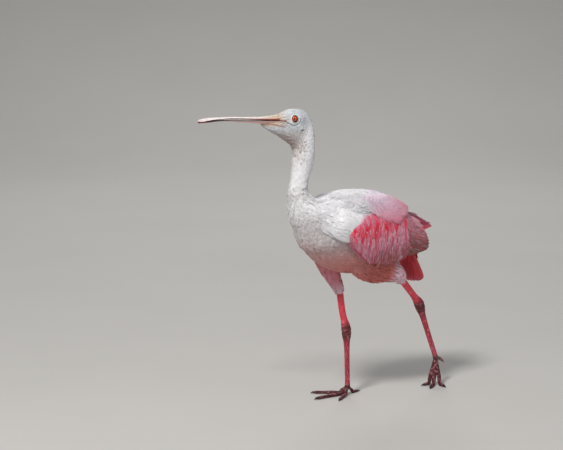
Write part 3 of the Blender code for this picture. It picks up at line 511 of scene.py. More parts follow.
@dataclass(frozen=True)
class Pattern:
    """Outline and section of a kind of feather.

    The section is a ring of points: across from -1 to 1, and on the upper or lower face.
    """

    rows: int = 5
    columns: int = 3
    outline: tuple[tuple[float, ...], tuple[float, ...]] = ((0.0, 0.25, 0.6, 0.85, 1.0), (0.4, 0.9, 1.0,
                                                                                          0.78, 0.2))
    camber: float = 0.04
    thickness: float = 0.22
    tilt: float = 0.0
    rise: float = 0.6
    curl: float = 0.0

    def ring(self) -> tuple[Array, Array, Array]:
        """Return the ring's places across, its faces (1 upper, -1 lower) and the quads that cap it."""
        if self.columns == 3:
            return np.array([-1, 0, 1, 0]), np.array([0, 1, 0, -1]), np.array([[0, 1, 2, 3]])
        across = np.sin(np.linspace(-0.5, 0.5, self.columns) * np.pi)
        count = self.columns
        caps = np.array([[i, i + 1, 2 * count - 2 - i, 2 * count - 1 - i] for i in range(count - 1)])
        return (np.concatenate([across, across[::-1]]), np.repeat([1, -1], count), caps)


@dataclass
class Lay:
    """Where feathers lie on a sheet: an array entry for each feather, angles in radians.

    Cells, for a few large feathers, give the first one's place on a map of that many cells a side.
    """

    roots: Array
    tips: Array
    width: Array
    low: Array
    high: Array
    bow: Array | float = 0.0
    cells: Optional[tuple[int, int]] = None


def lay_feathers(sheet: Sheet, lay: Lay, pattern: Pattern, tint: Callable[[Array, Array], Array],
                 rng: np.random.Generator, mirror: bool = False, mottle: float = 0.06) -> Surface:
    """Lay feathers on a sheet as thin closed vanes that follow it.

    A vane's middle line runs from root to tip in the sheet's own places, bowed aside by a sine. Points
    stand off it squarely by the outline's half width, and their lift eases from the root's to the tip's,
    plus the camber times one less the square of the place across.

    Args:
        sheet: The surface.
        lay: Roots, tips, widths and lifts.
        pattern: The feathers' outline and section.
        tint: The colour at stations and angles.
        rng: The source of the feathers' small differences.
        mirror: Whether the result is turned over to the bird's right side.
        mottle: How much the feathers differ in brightness.

    Returns:
        One surface with all feathers, their tint and both maps.
    """
    count = len(lay.roots)
    across, face, caps = pattern.ring()
    rows, around = pattern.rows, len(across)
    share = np.linspace(0, 1, rows)
    line = lay.roots[:, None] + (lay.tips - lay.roots)[:, None] * share[None, :, None]
    along_scale, around_scale = sheet.scales(line[..., 0], line[..., 1])
    scale = np.stack([along_scale, around_scale], axis=-1)
    ahead = unit((lay.tips - lay.roots)[:, None] * scale)
    aside = np.stack([-ahead[..., 1], ahead[..., 0]], axis=-1) / np.maximum(scale, 1e-3)
    length = np.linalg.norm((lay.tips - lay.roots)[:, None] * scale, axis=-1).mean(axis=1)
    bow = (np.broadcast_to(lay.bow, count) * length)[:, None] * np.sin(np.pi * share)
    half = 0.5 * lay.width[:, None] * np.interp(share, *pattern.outline)
    offset = bow[..., None] + half[..., None] * across
    spot = line[:, :, None] + offset[..., None] * aside[:, :, None]
    rise = ease(share, 0, pattern.rise)
    lift = lay.low[:, None] + (lay.high - lay.low)[:, None] * rise + pattern.curl * share**3
    thick = 0.5 * pattern.thickness * (1 - 0.5 * share)
    lift = (lift[..., None] + pattern.camber * half[..., None] * (1 - across**2)
            + pattern.tilt * half[..., None] * across + thick[:, None] * face)
    points = sheet.point(spot[..., 0], spot[..., 1], lift)
    if mirror:
        points[..., 1] *= -1
    number = np.arange(rows * around).reshape(rows, around)
    after = np.roll(number, -1, axis=1)
    quads = np.stack([number[:-1], after[:-1], after[1:], number[1:]], axis=-1).reshape(-1, 4)
    quads = np.concatenate([quads, caps[:, ::-1], caps + (rows - 1) * around])
    quads = (quads[None] + (np.arange(count) * rows * around)[:, None, None]).reshape(-1, 4)
    shade = tint(line[..., 0], line[..., 1]) * (1 + mottle * rng.standard_normal((count, 1, 1)))
    shade = np.broadcast_to(shade[:, :, None], (count, rows, around, 3))
    u = np.broadcast_to(0.5 + 0.5 * across, (count, rows, around))
    v = np.broadcast_to(share[:, None], (count, rows, around))
    turn = rng.random((count, 1, 1))
    vane = np.stack([u + np.floor(turn * 40), v + np.floor(turn * 900) % 30], axis=-1)
    home = np.stack([np.mod(lay.roots[:, 1] / (2 * np.pi), 1), lay.roots[:, 0] / sheet.last], axis=-1)
    home, patch = np.clip(home, 0.004, 0.996), 0.003
    if lay.cells is not None:
        cell = np.arange(count) + lay.cells[0]
        home = (np.column_stack([cell % lay.cells[1], cell // lay.cells[1]]) + 0.5) / lay.cells[1]
        patch = 0.9 / lay.cells[1]
    bake = home[:, None, None] + patch * (np.stack([u, v], axis=-1) - 0.5)
    return Surface(points.reshape(-1, 3), quads, None, np.clip(shade, 0, 1).reshape(-1, 3),
                   vane.reshape(-1, 2), bake.reshape(-1, 2)).outwards()


def scatter(sheet: Sheet, stations: tuple[float, float], angles: tuple[float, float], spacing: float,
            rng: np.random.Generator) -> Array:
    """Spread places evenly over a stretch of a sheet, in jittered rows an even way apart.

    Args:
        sheet: The surface.
        stations: First and last station.
        angles: First and last angle in degrees.
        spacing: The way between rows and between places in a row.
        rng: The source of the jitter.

    Returns:
        Places as rows of a station and an angle in radians.
    """
    fine = np.linspace(*stations, 200)
    turn = np.radians(np.linspace(*angles, 60))
    along, around = sheet.scales(*np.meshgrid(fine, turn, indexing="ij"))
    way = np.concatenate([[0], np.cumsum(along.mean(axis=1)[:-1] * np.diff(fine))])
    rows = np.interp(np.arange(0.5, max(way[-1] / spacing, 1)) * spacing, way, fine)
    places = []
    for number, station in enumerate(rows):
        size = np.array([np.interp(station, fine, around[:, j]) for j in range(len(turn))])
        reach = np.concatenate([[0], np.cumsum(0.5 * (size[1:] + size[:-1]) * np.diff(turn))])
        count = max(int(round(reach[-1] / spacing)), 1)
        at = (np.arange(count) + 0.5 * (number % 2) + 0.35 * rng.uniform(-1, 1, count)) / count * reach[-1]
        angle = np.interp(at, reach, turn)
        step = 0.35 * spacing / max(np.interp(station, fine, along.mean(axis=1)), 1e-3)
        places.append(np.column_stack([station + step * rng.uniform(-1, 1, count), angle]))
    return np.concatenate(places)


def onwards(sheet: Sheet, roots: Array, length: Array, turn: Array) -> Array:
    """Step from places by a length in millimetres, in a direction turned from along to around.

    The station grows by the length's cosine over the way of one station, and the angle by its sine
    over the way of one radian.
    """
    along, around = sheet.scales(roots[:, 0], roots[:, 1])
    return np.column_stack([roots[:, 0] + length * np.cos(turn) / np.maximum(along, 1e-3),
                            roots[:, 1] + length * np.sin(turn) / np.maximum(around, 1e-3)])


class Graph:
    """Short way to add nodes to a material or a group and to link them."""

    def __init__(self, tree: bpy.types.NodeTree) -> None:
        self.tree = tree

    def add(self, kind: str, inputs: Optional[dict[str | int, object]] = None,
            **settings: object) -> bpy.types.Node:
        """Add a node, with its settings, and values or sockets for its inputs.

        Args:
            kind: The node type without its ShaderNode prefix, or a group's whole type name.
            inputs: Values or output sockets by the input's name or number.
            settings: Attributes of the node.

        Returns:
            The node.
        """
        node = self.tree.nodes.new(kind if kind.startswith(("Shader", "Node")) else "ShaderNode" + kind)
        for name, value in settings.items():
            setattr(node, name, value)
        for name, value in (inputs or {}).items():
            if isinstance(value, bpy.types.NodeSocket):
                self.tree.links.new(value, node.inputs[name])
            else:
                node.inputs[name].default_value = value
        return node

    def link(self, value: bpy.types.NodeSocket, node: bpy.types.Node, name: str) -> None:
        """Link a value to a node's input."""
        self.tree.links.new(value, node.inputs[name])

    def math(self, operation: str, one: object, two: object = 0.5) -> bpy.types.NodeSocket:
        """Add a math node and return its value."""
        return self.add("Math", {0: one, 1: two}, operation=operation).outputs[0]

    def scaled(self, value: bpy.types.NodeSocket, low: float, high: float) -> bpy.types.NodeSocket:
        """Spread a share from 0 and 1 to low and high."""
        return self.add("MapRange", {"Value": value, "To Min": low, "To Max": high}).outputs[0]

    def mixed(self, share: object, one: object, two: object, blend: str = "MIX") -> bpy.types.NodeSocket:
        """Mix two colours by a share."""
        node = self.add("Mix", {0: share, 6: one, 7: two}, data_type="RGBA", blend_type=blend)
        return node.outputs[2]


def new_group(name: str, inputs: dict[str, tuple[str, object]],
              outputs: dict[str, str]) -> tuple[bpy.types.NodeTree, Graph, bpy.types.Node, bpy.types.Node]:
    """Start a shader node group with named sockets.

    Args:
        name: The group's name.
        inputs: Socket types and default values by name.
        outputs: Socket types by name.

    Returns:
        The group, its graph, and its input and output nodes.
    """
    tree = bpy.data.node_groups.new(name, "ShaderNodeTree")
    for label, (kind, value) in inputs.items():
        socket = tree.interface.new_socket(label, in_out="INPUT", socket_type=kind)
        if value is not None:
            socket.default_value = value
    for label, kind in outputs.items():
        tree.interface.new_socket(label, in_out="OUTPUT", socket_type=kind)
    graph = Graph(tree)
    return tree, graph, graph.add("NodeGroupInput"), graph.add("NodeGroupOutput")


@dataclass
class Effects:
    """Node groups that several finishes share."""

    barbs: bpy.types.NodeTree = field(init=False)
    mottle: bpy.types.NodeTree = field(init=False)
    scales: bpy.types.NodeTree = field(init=False)

    def __post_init__(self) -> None:
        self.barbs = self.make_barbs()
        self.mottle = self.make_mottle()
        self.scales = self.make_scales()

    def make_barbs(self) -> bpy.types.NodeTree:
        """Streak a vane along its length and rib it obliquely from its shaft.

        The streaks are noise stretched along the vane. The ribs are a sine of the place along it plus
        the distance from its middle, and the shaft is where that distance is small.
        """
        tree, graph, start, end = new_group(
            "barbs", {"Vector": ("NodeSocketVector", None), "Streaks": ("NodeSocketFloat", 9),
                      "Ribs": ("NodeSocketFloat", 30)},
            {"Streak": "NodeSocketFloat", "Rib": "NodeSocketFloat", "Shaft": "NodeSocketFloat"})
        parts = graph.add("SeparateXYZ", {0: start.outputs["Vector"]})
        across = graph.math("MULTIPLY", parts.outputs[0], start.outputs["Streaks"])
        stretched = graph.add("CombineXYZ", {0: across, 1: graph.math("MULTIPLY", parts.outputs[1], 1.3)})
        noise = graph.add("TexNoise", {"Vector": stretched.outputs[0], "Scale": 1, "Detail": 3,
                                       "Roughness": 0.65})
        off = graph.math("ABSOLUTE", graph.math("SUBTRACT", graph.math("FRACT", parts.outputs[0]), 0.5))
        slant = graph.math("SUBTRACT", parts.outputs[1], graph.math("MULTIPLY", off, 0.35))
        turn = graph.math("MULTIPLY", slant, graph.math("MULTIPLY", start.outputs["Ribs"], 2 * math.pi))
        rib = graph.scaled(graph.math("SINE", turn), 0, 1)
        rib.node.inputs["From Min"].default_value = -1
        shaft = graph.add("MapRange", {"Value": off, "From Min": 0, "From Max": 0.045, "To Min": 1,
                                       "To Max": 0})
        graph.link(noise.outputs[0], end, "Streak")
        graph.link(rib, end, "Rib")
        graph.link(shaft.outputs[0], end, "Shaft")
        return tree

    def make_mottle(self) -> bpy.types.NodeTree:
        """Blotch a surface with broad noise and pit it with fine noise."""
        tree, graph, start, end = new_group(
            "mottle", {"Vector": ("NodeSocketVector", None), "Broad": ("NodeSocketFloat", 120),
                       "Fine": ("NodeSocketFloat", 900)},
            {"Blotch": "NodeSocketFloat", "Grain": "NodeSocketFloat"})
        for label, size in (("Blotch", "Broad"), ("Grain", "Fine")):
            noise = graph.add("TexNoise", {"Vector": start.outputs["Vector"], "Scale": start.outputs[size],
                                           "Detail": 4, "Roughness": 0.6})
            graph.link(noise.outputs[0], end, label)
        return tree

    def make_scales(self) -> bpy.types.NodeTree:
        """Part a surface into cells, as small round scales: their height falls to the edge between two."""
        tree, graph, start, end = new_group(
            "scales", {"Vector": ("NodeSocketVector", None), "Size": ("NodeSocketFloat", 420)},
            {"Height": "NodeSocketFloat", "Edge": "NodeSocketFloat", "Tone": "NodeSocketFloat"})
        cells = graph.add("TexVoronoi", {"Vector": start.outputs["Vector"], "Scale": start.outputs["Size"]},
                          feature="DISTANCE_TO_EDGE")
        tones = graph.add("TexVoronoi", {"Vector": start.outputs["Vector"], "Scale": start.outputs["Size"]})
        height = graph.add("MapRange", {"Value": cells.outputs["Distance"], "From Max": 0.22})
        edge = graph.add("MapRange", {"Value": cells.outputs["Distance"], "From Max": 0.09, "To Min": 1,
                                      "To Max": 0})
        tone = graph.add("SeparateColor", {0: tones.outputs["Color"]})
        graph.link(height.outputs[0], end, "Height")
        graph.link(edge.outputs[0], end, "Edge")
        graph.link(tone.outputs[0], end, "Tone")
        return tree


@dataclass(frozen=True)
class Finish:
    """Base of the finishes: a material whose colour starts from the surface's tint."""

    name: str
    roughness: float = 0.6
    sheen: float = 0.0
    coat: float = 0.0
    specular: float = 0.5

    def begin(self) -> tuple[bpy.types.Material, Graph, bpy.types.Node, bpy.types.NodeSocket]:
        """Make the material.

        Returns:
            The material, its graph, its shader and the tint's colour.
        """
        made = bpy.data.materials.new(self.name)
        made.use_nodes = True
        graph = Graph(made.node_tree)
        shader = made.node_tree.nodes["Principled BSDF"]
        shader.inputs["Roughness"].default_value = self.roughness
        shader.inputs["Sheen Weight"].default_value = self.sheen
        shader.inputs["Coat Weight"].default_value = self.coat
        shader.inputs["Specular IOR Level"].default_value = self.specular
        tint = graph.add("Attribute", attribute_name="Tint").outputs["Color"]
        return made, graph, shader, tint

    def bumped(self, graph: Graph, shader: bpy.types.Node, height: bpy.types.NodeSocket, strength: float,
               distance: float, under: Optional[bpy.types.NodeSocket] = None) -> bpy.types.NodeSocket:
        """Feed the shader's normal from a height, on top of another normal where one is given."""
        inputs = {"Height": height, "Strength": strength, "Distance": distance}
        if under is not None:
            inputs["Normal"] = under
        node = graph.add("Bump", inputs)
        graph.link(node.outputs[0], shader, "Normal")
        return node.outputs[0]


@dataclass(frozen=True)
class FeatherFinish(Finish):
    """Plumage: streaked along each vane, ribbed by its barbs, with a shaft where it is broad."""

    streaks: float = 9.0
    ribs: float = 30.0
    contrast: float = 0.25
    rib_depth: float = 0.0
    shaft: float = 0.0

    def make(self, effects: Effects) -> bpy.types.Material:
        """Return the material."""
        made, graph, shader, tint = self.begin()
        place = graph.add("UVMap", uv_map="Vane").outputs[0]
        group = graph.add("Group", node_tree=effects.barbs)
        graph.link(place, group, "Vector")
        group.inputs["Streaks"].default_value = self.streaks
        group.inputs["Ribs"].default_value = self.ribs
        light = graph.add("MapRange", {"Value": group.outputs["Streak"], "From Min": 0.3, "From Max": 0.7,
                                       "To Min": 1 - self.contrast, "To Max": 1 + 0.4 * self.contrast})
        colour = graph.mixed(1, tint, light.outputs[0], "MULTIPLY")
        if self.rib_depth:
            rib = graph.scaled(group.outputs["Rib"], 1 - self.rib_depth, 1)
            colour = graph.mixed(1, colour, rib, "MULTIPLY")
        if self.shaft:
            share = graph.math("MULTIPLY", group.outputs["Shaft"], self.shaft)
            colour = graph.mixed(share, colour, (0.75, 0.5, 0.5, 1))
        graph.link(colour, shader, "Base Color")
        height = graph.math("ADD", group.outputs["Streak"], graph.math("MULTIPLY", group.outputs["Rib"],
                                                                       0.6 if self.rib_depth else 0))
        self.bumped(graph, shader, height, 0.35, 0.0006)
        return made


@dataclass(frozen=True)
class HideFinish(Finish):
    """Bare or thinly covered skin and horn: blotched, pitted and, where asked, scaled."""

    broad: float = 120.0
    fine: float = 900.0
    contrast: float = 0.2
    depth: float = 0.0004
    scale_size: float = 0.0
    edge_tint: Colour = (0.02, 0.005, 0.006)
    fleck_tint: Colour = (0.75, 0.3, 0.34)
    flecks: float = 0.0

    def make(self, effects: Effects) -> bpy.types.Material:
        """Return the material."""
        made, graph, shader, tint = self.begin()
        place = graph.add("TexCoord").outputs["Object"]
        group = graph.add("Group", node_tree=effects.mottle)
        graph.link(place, group, "Vector")
        group.inputs["Broad"].default_value = self.broad
        group.inputs["Fine"].default_value = self.fine
        light = graph.add("MapRange", {"Value": group.outputs["Blotch"], "From Min": 0.3, "From Max": 0.7,
                                       "To Min": 1 - self.contrast, "To Max": 1 + 0.5 * self.contrast})
        colour = graph.mixed(1, tint, light.outputs[0], "MULTIPLY")
        rough = graph.scaled(group.outputs["Grain"], self.roughness - 0.12, self.roughness + 0.15)
        graph.link(rough, shader, "Roughness")
        under = self.bumped(graph, shader, group.outputs["Grain"], 0.5, self.depth)
        if self.scale_size:
            scales = graph.add("Group", node_tree=effects.scales)
            graph.link(place, scales, "Vector")
            scales.inputs["Size"].default_value = self.scale_size
            edge = graph.math("MULTIPLY", scales.outputs["Edge"], 0.5)
            colour = graph.mixed(edge, colour, (*self.edge_tint, 1))
            if self.flecks:
                fleck = graph.add("MapRange", {"Value": scales.outputs["Tone"], "From Min": 1 - self.flecks,
                                               "From Max": 1, "To Max": 0.5})
                colour = graph.mixed(fleck.outputs[0], colour, (*self.fleck_tint, 1))
            self.bumped(graph, shader, scales.outputs["Height"], 0.8, 0.0007, under)
        graph.link(colour, shader, "Base Color")
        return made


class Tone:
    """Named plumage and skin colours, in linear shares."""

    WHITE = linear(230, 229, 233)
    # Painted shade: white plumage turned grey.
    SHADED_WHITE = linear(182, 174, 175)
    BLUSH = linear(228, 194, 208)
    LILAC = linear(226, 208, 228)
    PINK = linear(222, 146, 168)
    ROSE = linear(224, 96, 126)
    MAUVE = linear(196, 118, 130)
    CARMINE = linear(228, 8, 52)
    BLOOD = linear(150, 14, 30)
    RUST = linear(190, 98, 90)
    BELLY = linear(200, 134, 132)
    SKIN = linear(198, 205, 212)
    SKIN_DARK = linear(104, 92, 88)
    SKIN_WARM = linear(202, 176, 150)
    THROAT = linear(176, 164, 160)
    LID = linear(232, 226, 218)
    MOUTH = linear(128, 30, 28)
    # Painted shade: near black for the dark gap between the mandibles.
    MOUTH_GAP_SHADE = linear(34, 12, 12)
    HORN = linear(222, 208, 206)
    HORN_BLUE = linear(206, 204, 210)
    HORN_PINK = linear(228, 186, 180)
    HORN_RED = linear(206, 60, 40)
    LEG = linear(216, 44, 68)
    LEG_DARK = linear(34, 10, 14)
    # Painted sunlight: a brighter red for the shank, as if lit.
    LEG_SUNLIT = linear(255, 70, 92)
    CLAW = linear(40, 28, 28)


def even(colour: Array, like: Array) -> Array:
    """Spread one colour over an array's places."""
    return np.broadcast_to(colour, like.shape + (3,))


def blend(base: Array, other: Array, share: Array) -> Array:
    """Mix a colour field with another colour or field by a share at each place."""
    return base + (other - base) * np.asarray(share)[..., None]


def speckle(station: Array, angle: Array) -> Array:
    """Return sparse spots over the throat and the neck's front, where a product of warped sines peaks."""
    degrees = np.degrees(np.mod(angle, 2 * np.pi))
    degrees = np.minimum(degrees, 360 - degrees)
    waves = np.sin(23 * station + 3 * np.sin(9 * angle)) * np.sin(31 * angle + 4 * np.sin(7 * station))
    return ease(waves, 0.15, 0.65) * bump(station, 6.8, 3.8) * ease(degrees, 60, 105)


def body_tint(station: Array, angle: Array) -> Array:
    """Return the plumage's colour on the body's hull.

    It is white, with painted shade streaked among the ruffles at the neck's base and painted grey shade on the
    breast's lower sides, and turns blush, then rosy and red-brown to the lower belly, pink on the back and carmine
    round the tail.
    """
    degrees = np.abs(np.degrees(np.mod(angle + np.pi, 2 * np.pi) - np.pi))
    colour = even(Tone.WHITE, station)
    colour = blend(colour, Tone.THROAT, 0.6 * ease(station, 12, 6.5) * ease(degrees, 80, 130))
    colour = blend(colour, Tone.SKIN_DARK, 0.85 * speckle(station, angle))
    # Painted shade: dark brown-grey streaks among the ruffles at the neck's base.
    painted_ruffle_shade = 0.5 + 0.5 * np.sin(19 * station + 5 * np.sin(5 * angle)) * np.sin(17 * angle + 3 * station)
    colour = blend(colour, linear(128, 114, 106), 0.6 * painted_ruffle_shade * bump(station, 15, 1.3) * ease(degrees, 20,
                                                                                                90))
    reach = station + 1.1 * ease(degrees, 112, 165)
    # Painted shade: the breast's lower sides turn grey.
    colour = blend(colour, Tone.SHADED_WHITE, 0.8 * ease(station, 16.6, 19.4) * ease(degrees, 82, 128))
    colour = blend(colour, Tone.BELLY, 0.6 * ease(reach, 20, 21.6) * ease(degrees, 94, 122))
    colour = blend(colour, Tone.BELLY, ease(reach, 21, 22.4) * ease(degrees, 106, 134))
    colour = blend(colour, Tone.RUST, 0.9 * ease(reach, 21.8, 23.6) * ease(degrees, 116, 142))
    back = 1 - ease(degrees, 50, 90)
    colour = blend(colour, Tone.LILAC, 0.8 * back * ease(station, 21.2, 22.2))
    colour = blend(colour, Tone.PINK, 0.9 * back * ease(station, 23, 25))
    return blend(colour, Tone.CARMINE, ease(station, 25.2, 26.8))


def groove(x: Array, z: Array, knots: Sequence[Sequence[float]], width: float) -> Array:
    """Return a bell across a smooth line through knots, seen from the side: by the way to its nearest point."""
    line = smooth_rows(knots, np.linspace(0, len(knots) - 1, 48))
    near = np.full(np.shape(x), np.inf)
    for knot_x, knot_z in line:
        near = np.minimum(near, (x - knot_x) ** 2 + (z - knot_z) ** 2)
    return np.exp(-near / width**2)


class Skin:
    """The one skin of head, neck and trunk, with the face's lids, folds, mouth and ears, and the thighs."""

    bare_until = 6.2
    depth_neck = 1.4
    depth_body = 3.2
    # Lines on the side of the head, x and z: the fold under the eye, the mouth's corner, the jaw's fold.
    eye_fold = ((-160.5, 528.3), (-154, 524.6), (-146, 521.2), (-138, 522.4), (-132.8, 527), (-131.4, 532.5))
    gape = ((-192, 529.9), (-178, 530), (-169, 529.6), (-161.9, 529.1), (-158.5, 528.6))
    jaw_fold = ((-202, 524.6), (-184.5, 523.3), (-168.5, 519.7), (-160.5, 517.6))
    ear = (-128.5, 511.3)

    def depth(self, station: Array) -> Array:
        """Return how far the skin lies under the outline: nothing on the face, and the coat's depth behind."""
        return (self.depth_neck * ease(station, self.bare_until, 8.5)
                + (self.depth_body - self.depth_neck) * ease(station, 14, 17.5))

    def face(self, station: Array, angle: Array, place: Array) -> tuple[Array, Array]:
        """Work out the face's relief and colour.

        Rings round the eye's place make the socket and the lid. Bells across lines make the folds, and
        products of sines the fine wrinkles.

        Args:
            station: Stations of the grid.
            angle: Its angles.
            place: Its points in millimetres.

        Returns:
            Heights over the skull, and colours.
        """
        head = turn_head(place, -1)
        x, y, z = head[..., 0], np.abs(head[..., 1]), head[..., 2]
        off = np.hypot(x - EYE_PLACE[0], (z - EYE_PLACE[2]) / 1.08)
        side = ease(y, 4, 8)
        height = -6.5 * side * (1 - ease(off, 4.9, 5.5))
        height += side * (1.2 * bump(off, 6.2, 0.8) + 0.8 * bump(off, 0, 10) - 0.35 * bump(off, 7.9, 0.6))
        fold = side * groove(x, z, self.eye_fold, 0.85)
        height += -1.3 * fold + 0.6 * side * (groove(x, z, self.eye_fold, 3) - groove(x, z, self.eye_fold,
                                                                                      1.6))
        gape = side * groove(x, z, self.gape, 0.9)
        height += -1.5 * gape + 0.5 * side * (groove(x, z, self.gape, 2.6) - groove(x, z, self.gape, 1.5))
        jaw = side * groove(x, z, self.jaw_fold, 0.9)
        height += -1 * jaw
        ear = np.hypot((x - self.ear[0]) / 1.5, z - self.ear[1])
        height += side * (-1.6 * bump(ear, 0, 1.7) + 0.5 * bump(ear, 3, 1))
        throat = ease(np.abs(np.degrees(np.mod(angle, 2 * np.pi)) - 180), 80, 30)
        folds = np.sin(1.1 * z + 0.3 * x + 2 * np.sin(0.4 * y) + 1.2 * np.sin(0.23 * x))
        height += 0.22 * throat * folds * ease(station, 0.8, 2.5)
        creases = np.sin(0.8 * x + 0.5 * z + 1.6 * np.sin(0.33 * z)) * np.sin(0.6 * z - 0.37 * x + np.sin(0.2 * x))
        height += 0.2 * creases * side * ease(off, 8, 14)
        colour = even(Tone.SKIN, station)
        colour = blend(colour, linear(132, 132, 138), 0.65 * bump(x, -124, 9) * bump(z, 526, 13))
        # Painted shadow under the bill's base, on the chin.
        colour = blend(colour, linear(96, 74, 64), 0.6 * bump(x, -197, 9) * bump(z, 523, 3))
        blotch = np.sin(0.9 * x + 2 * np.sin(0.45 * z)) * np.sin(0.8 * z + 1.7 * np.sin(0.5 * x))
        colour = blend(colour, linear(228, 230, 232), 0.4 * ease(blotch, 0.1, 0.8))
        colour = blend(colour, linear(164, 160, 158), 0.35 * ease(-blotch, 0.2, 0.8))
        colour = blend(colour, Tone.THROAT, 0.55 * ease(z, 518, 505))
        colour = blend(colour, linear(156, 134, 130), 0.7 * ease(z, 512, 492) * throat)
        colour = blend(colour, linear(128, 104, 98), 0.45 * throat * ease(folds, 0.3, 0.9) * ease(z, 518,
                                                                                                  505))
        patchy = 1 + 0.22 * np.sin(0.9 * x + 1.4 * np.sin(0.7 * z)) * np.sin(1.1 * z - 0.5 * x)
        base = ease(x + 0.35 * np.abs(z - 530), -149, -177) ** 0.7 * ease(z, 516.5, 523.5)
        colour = blend(colour, Tone.SKIN_WARM, np.clip(0.8 * base * patchy, 0, 1))
        rays = np.sin(2.1 * (z - 530) / (1 + 0.03 * (x + 185)) + 0.5 * np.sin(0.5 * x))
        lines = ease(rays, 0.4, 0.9) * bump(x, -165, 13) * bump(z, 531, 10) * side
        height -= 0.3 * lines
        colour = blend(colour, linear(116, 84, 66), 0.75 * lines)
        colour = blend(colour, Tone.LID, 0.8 * bump(off, 6.9, 0.8) * side)
        colour = blend(colour, linear(24, 14, 16), 0.95 * bump(off, 5.35, 0.55) * side)
        # Painted shade in the crease of the fold under the eye.
        colour = blend(colour, linear(92, 84, 88), 0.75 * fold * ease(x, -161, -156))
        colour = blend(colour, Tone.MOUTH, np.clip(1.1 * gape, 0, 1))
        colour = blend(colour, linear(150, 66, 58), 0.9 * jaw)
        colour = blend(colour, linear(60, 50, 48), 0.9 * side * bump(ear, 0, 1.8))
        spots = speckle(station, angle) + 0.8 * bump(np.hypot((x + 148) / 2, z - 514), 0, 0.8)
        colour = blend(colour, Tone.SKIN_DARK, 0.75 * np.clip(spots, 0, 1))
        return height, colour

    def build(self, finish: bpy.types.Material) -> None:
        """Build the skin on a grid of stations, close together on the face, by angles round it."""
        hull = Hull(BODY_ROWS)
        station = np.concatenate([np.linspace(0, 1.2, 20)[:-1], np.linspace(1.2, 5.2, 150)[:-1],
                                  np.linspace(5.2, 8.5, 60)[:-1], np.linspace(8.5, 16, 60)[:-1],
                                  np.linspace(16, hull.last - 0.02, 80)])
        angle = circle(240)
        station, angle = np.meshgrid(station, angle, indexing="ij")
        place = hull.place(station, angle)
        relief, face_colour = self.face(station, angle, place)
        near = 1 - ease(station, 6.2, 7.8)
        points = hull.point(station, angle, relief * near - self.depth(station))
        behind = body_tint(station, angle)
        bare = 1 - ease(station, self.bare_until - 1.2, self.bare_until + 0.6)
        tint = behind + (face_colour - behind) * bare[..., None]
        skin = tube(points, tint)
        thighs = [self.thigh(side) for side in Side]
        add_piece("skin", join([skin, *thighs]), finish, Slot.FACE,
                  ["head", "neck_upper", "neck_lower", "torso", "thigh_left", "thigh_right"])

    def thigh(self, side: Side) -> Surface:
        """Return a thigh's skin, its coat's depth inside the outline."""
        sheet = Tube(THIGH_ROWS[side.word])
        station, angle = np.meshgrid(np.linspace(0, sheet.last, 40),
                                     circle(48), indexing="ij")
        depth = np.minimum(2.4, 0.3 + 1.2 * (sheet.last - station))
        return tube(sheet.point(station, angle, -depth), thigh_tint(side)(station, angle))


def thigh_tint(side: Side) -> Callable[[Array, Array], Array]:
    """Return the colour over one thigh: pink to rose, and pale above the bare shank."""

    def tint(station: Array, angle: Array) -> Array:
        colour = blend(even(Tone.BELLY, station), Tone.RUST, ease(station, 0.2, 1.8))
        if side is Side.LEFT:
            spots = ease(np.sin(9 * station + 2 * angle) * np.sin(5 * angle + 3 * station), 0.3, 0.8)
            colour = blend(colour, Tone.BLUSH, 0.9 * ease(station, 2.8, 3.6))
            return blend(colour, Tone.ROSE, 0.6 * spots * ease(station, 2.6, 3.2))
        colour = blend(colour, Tone.PINK, 0.6 * ease(station, 0.5, 2.5))
        return blend(colour, Tone.BLUSH, 0.75 * ease(station, 3, 4.6))

    return tint


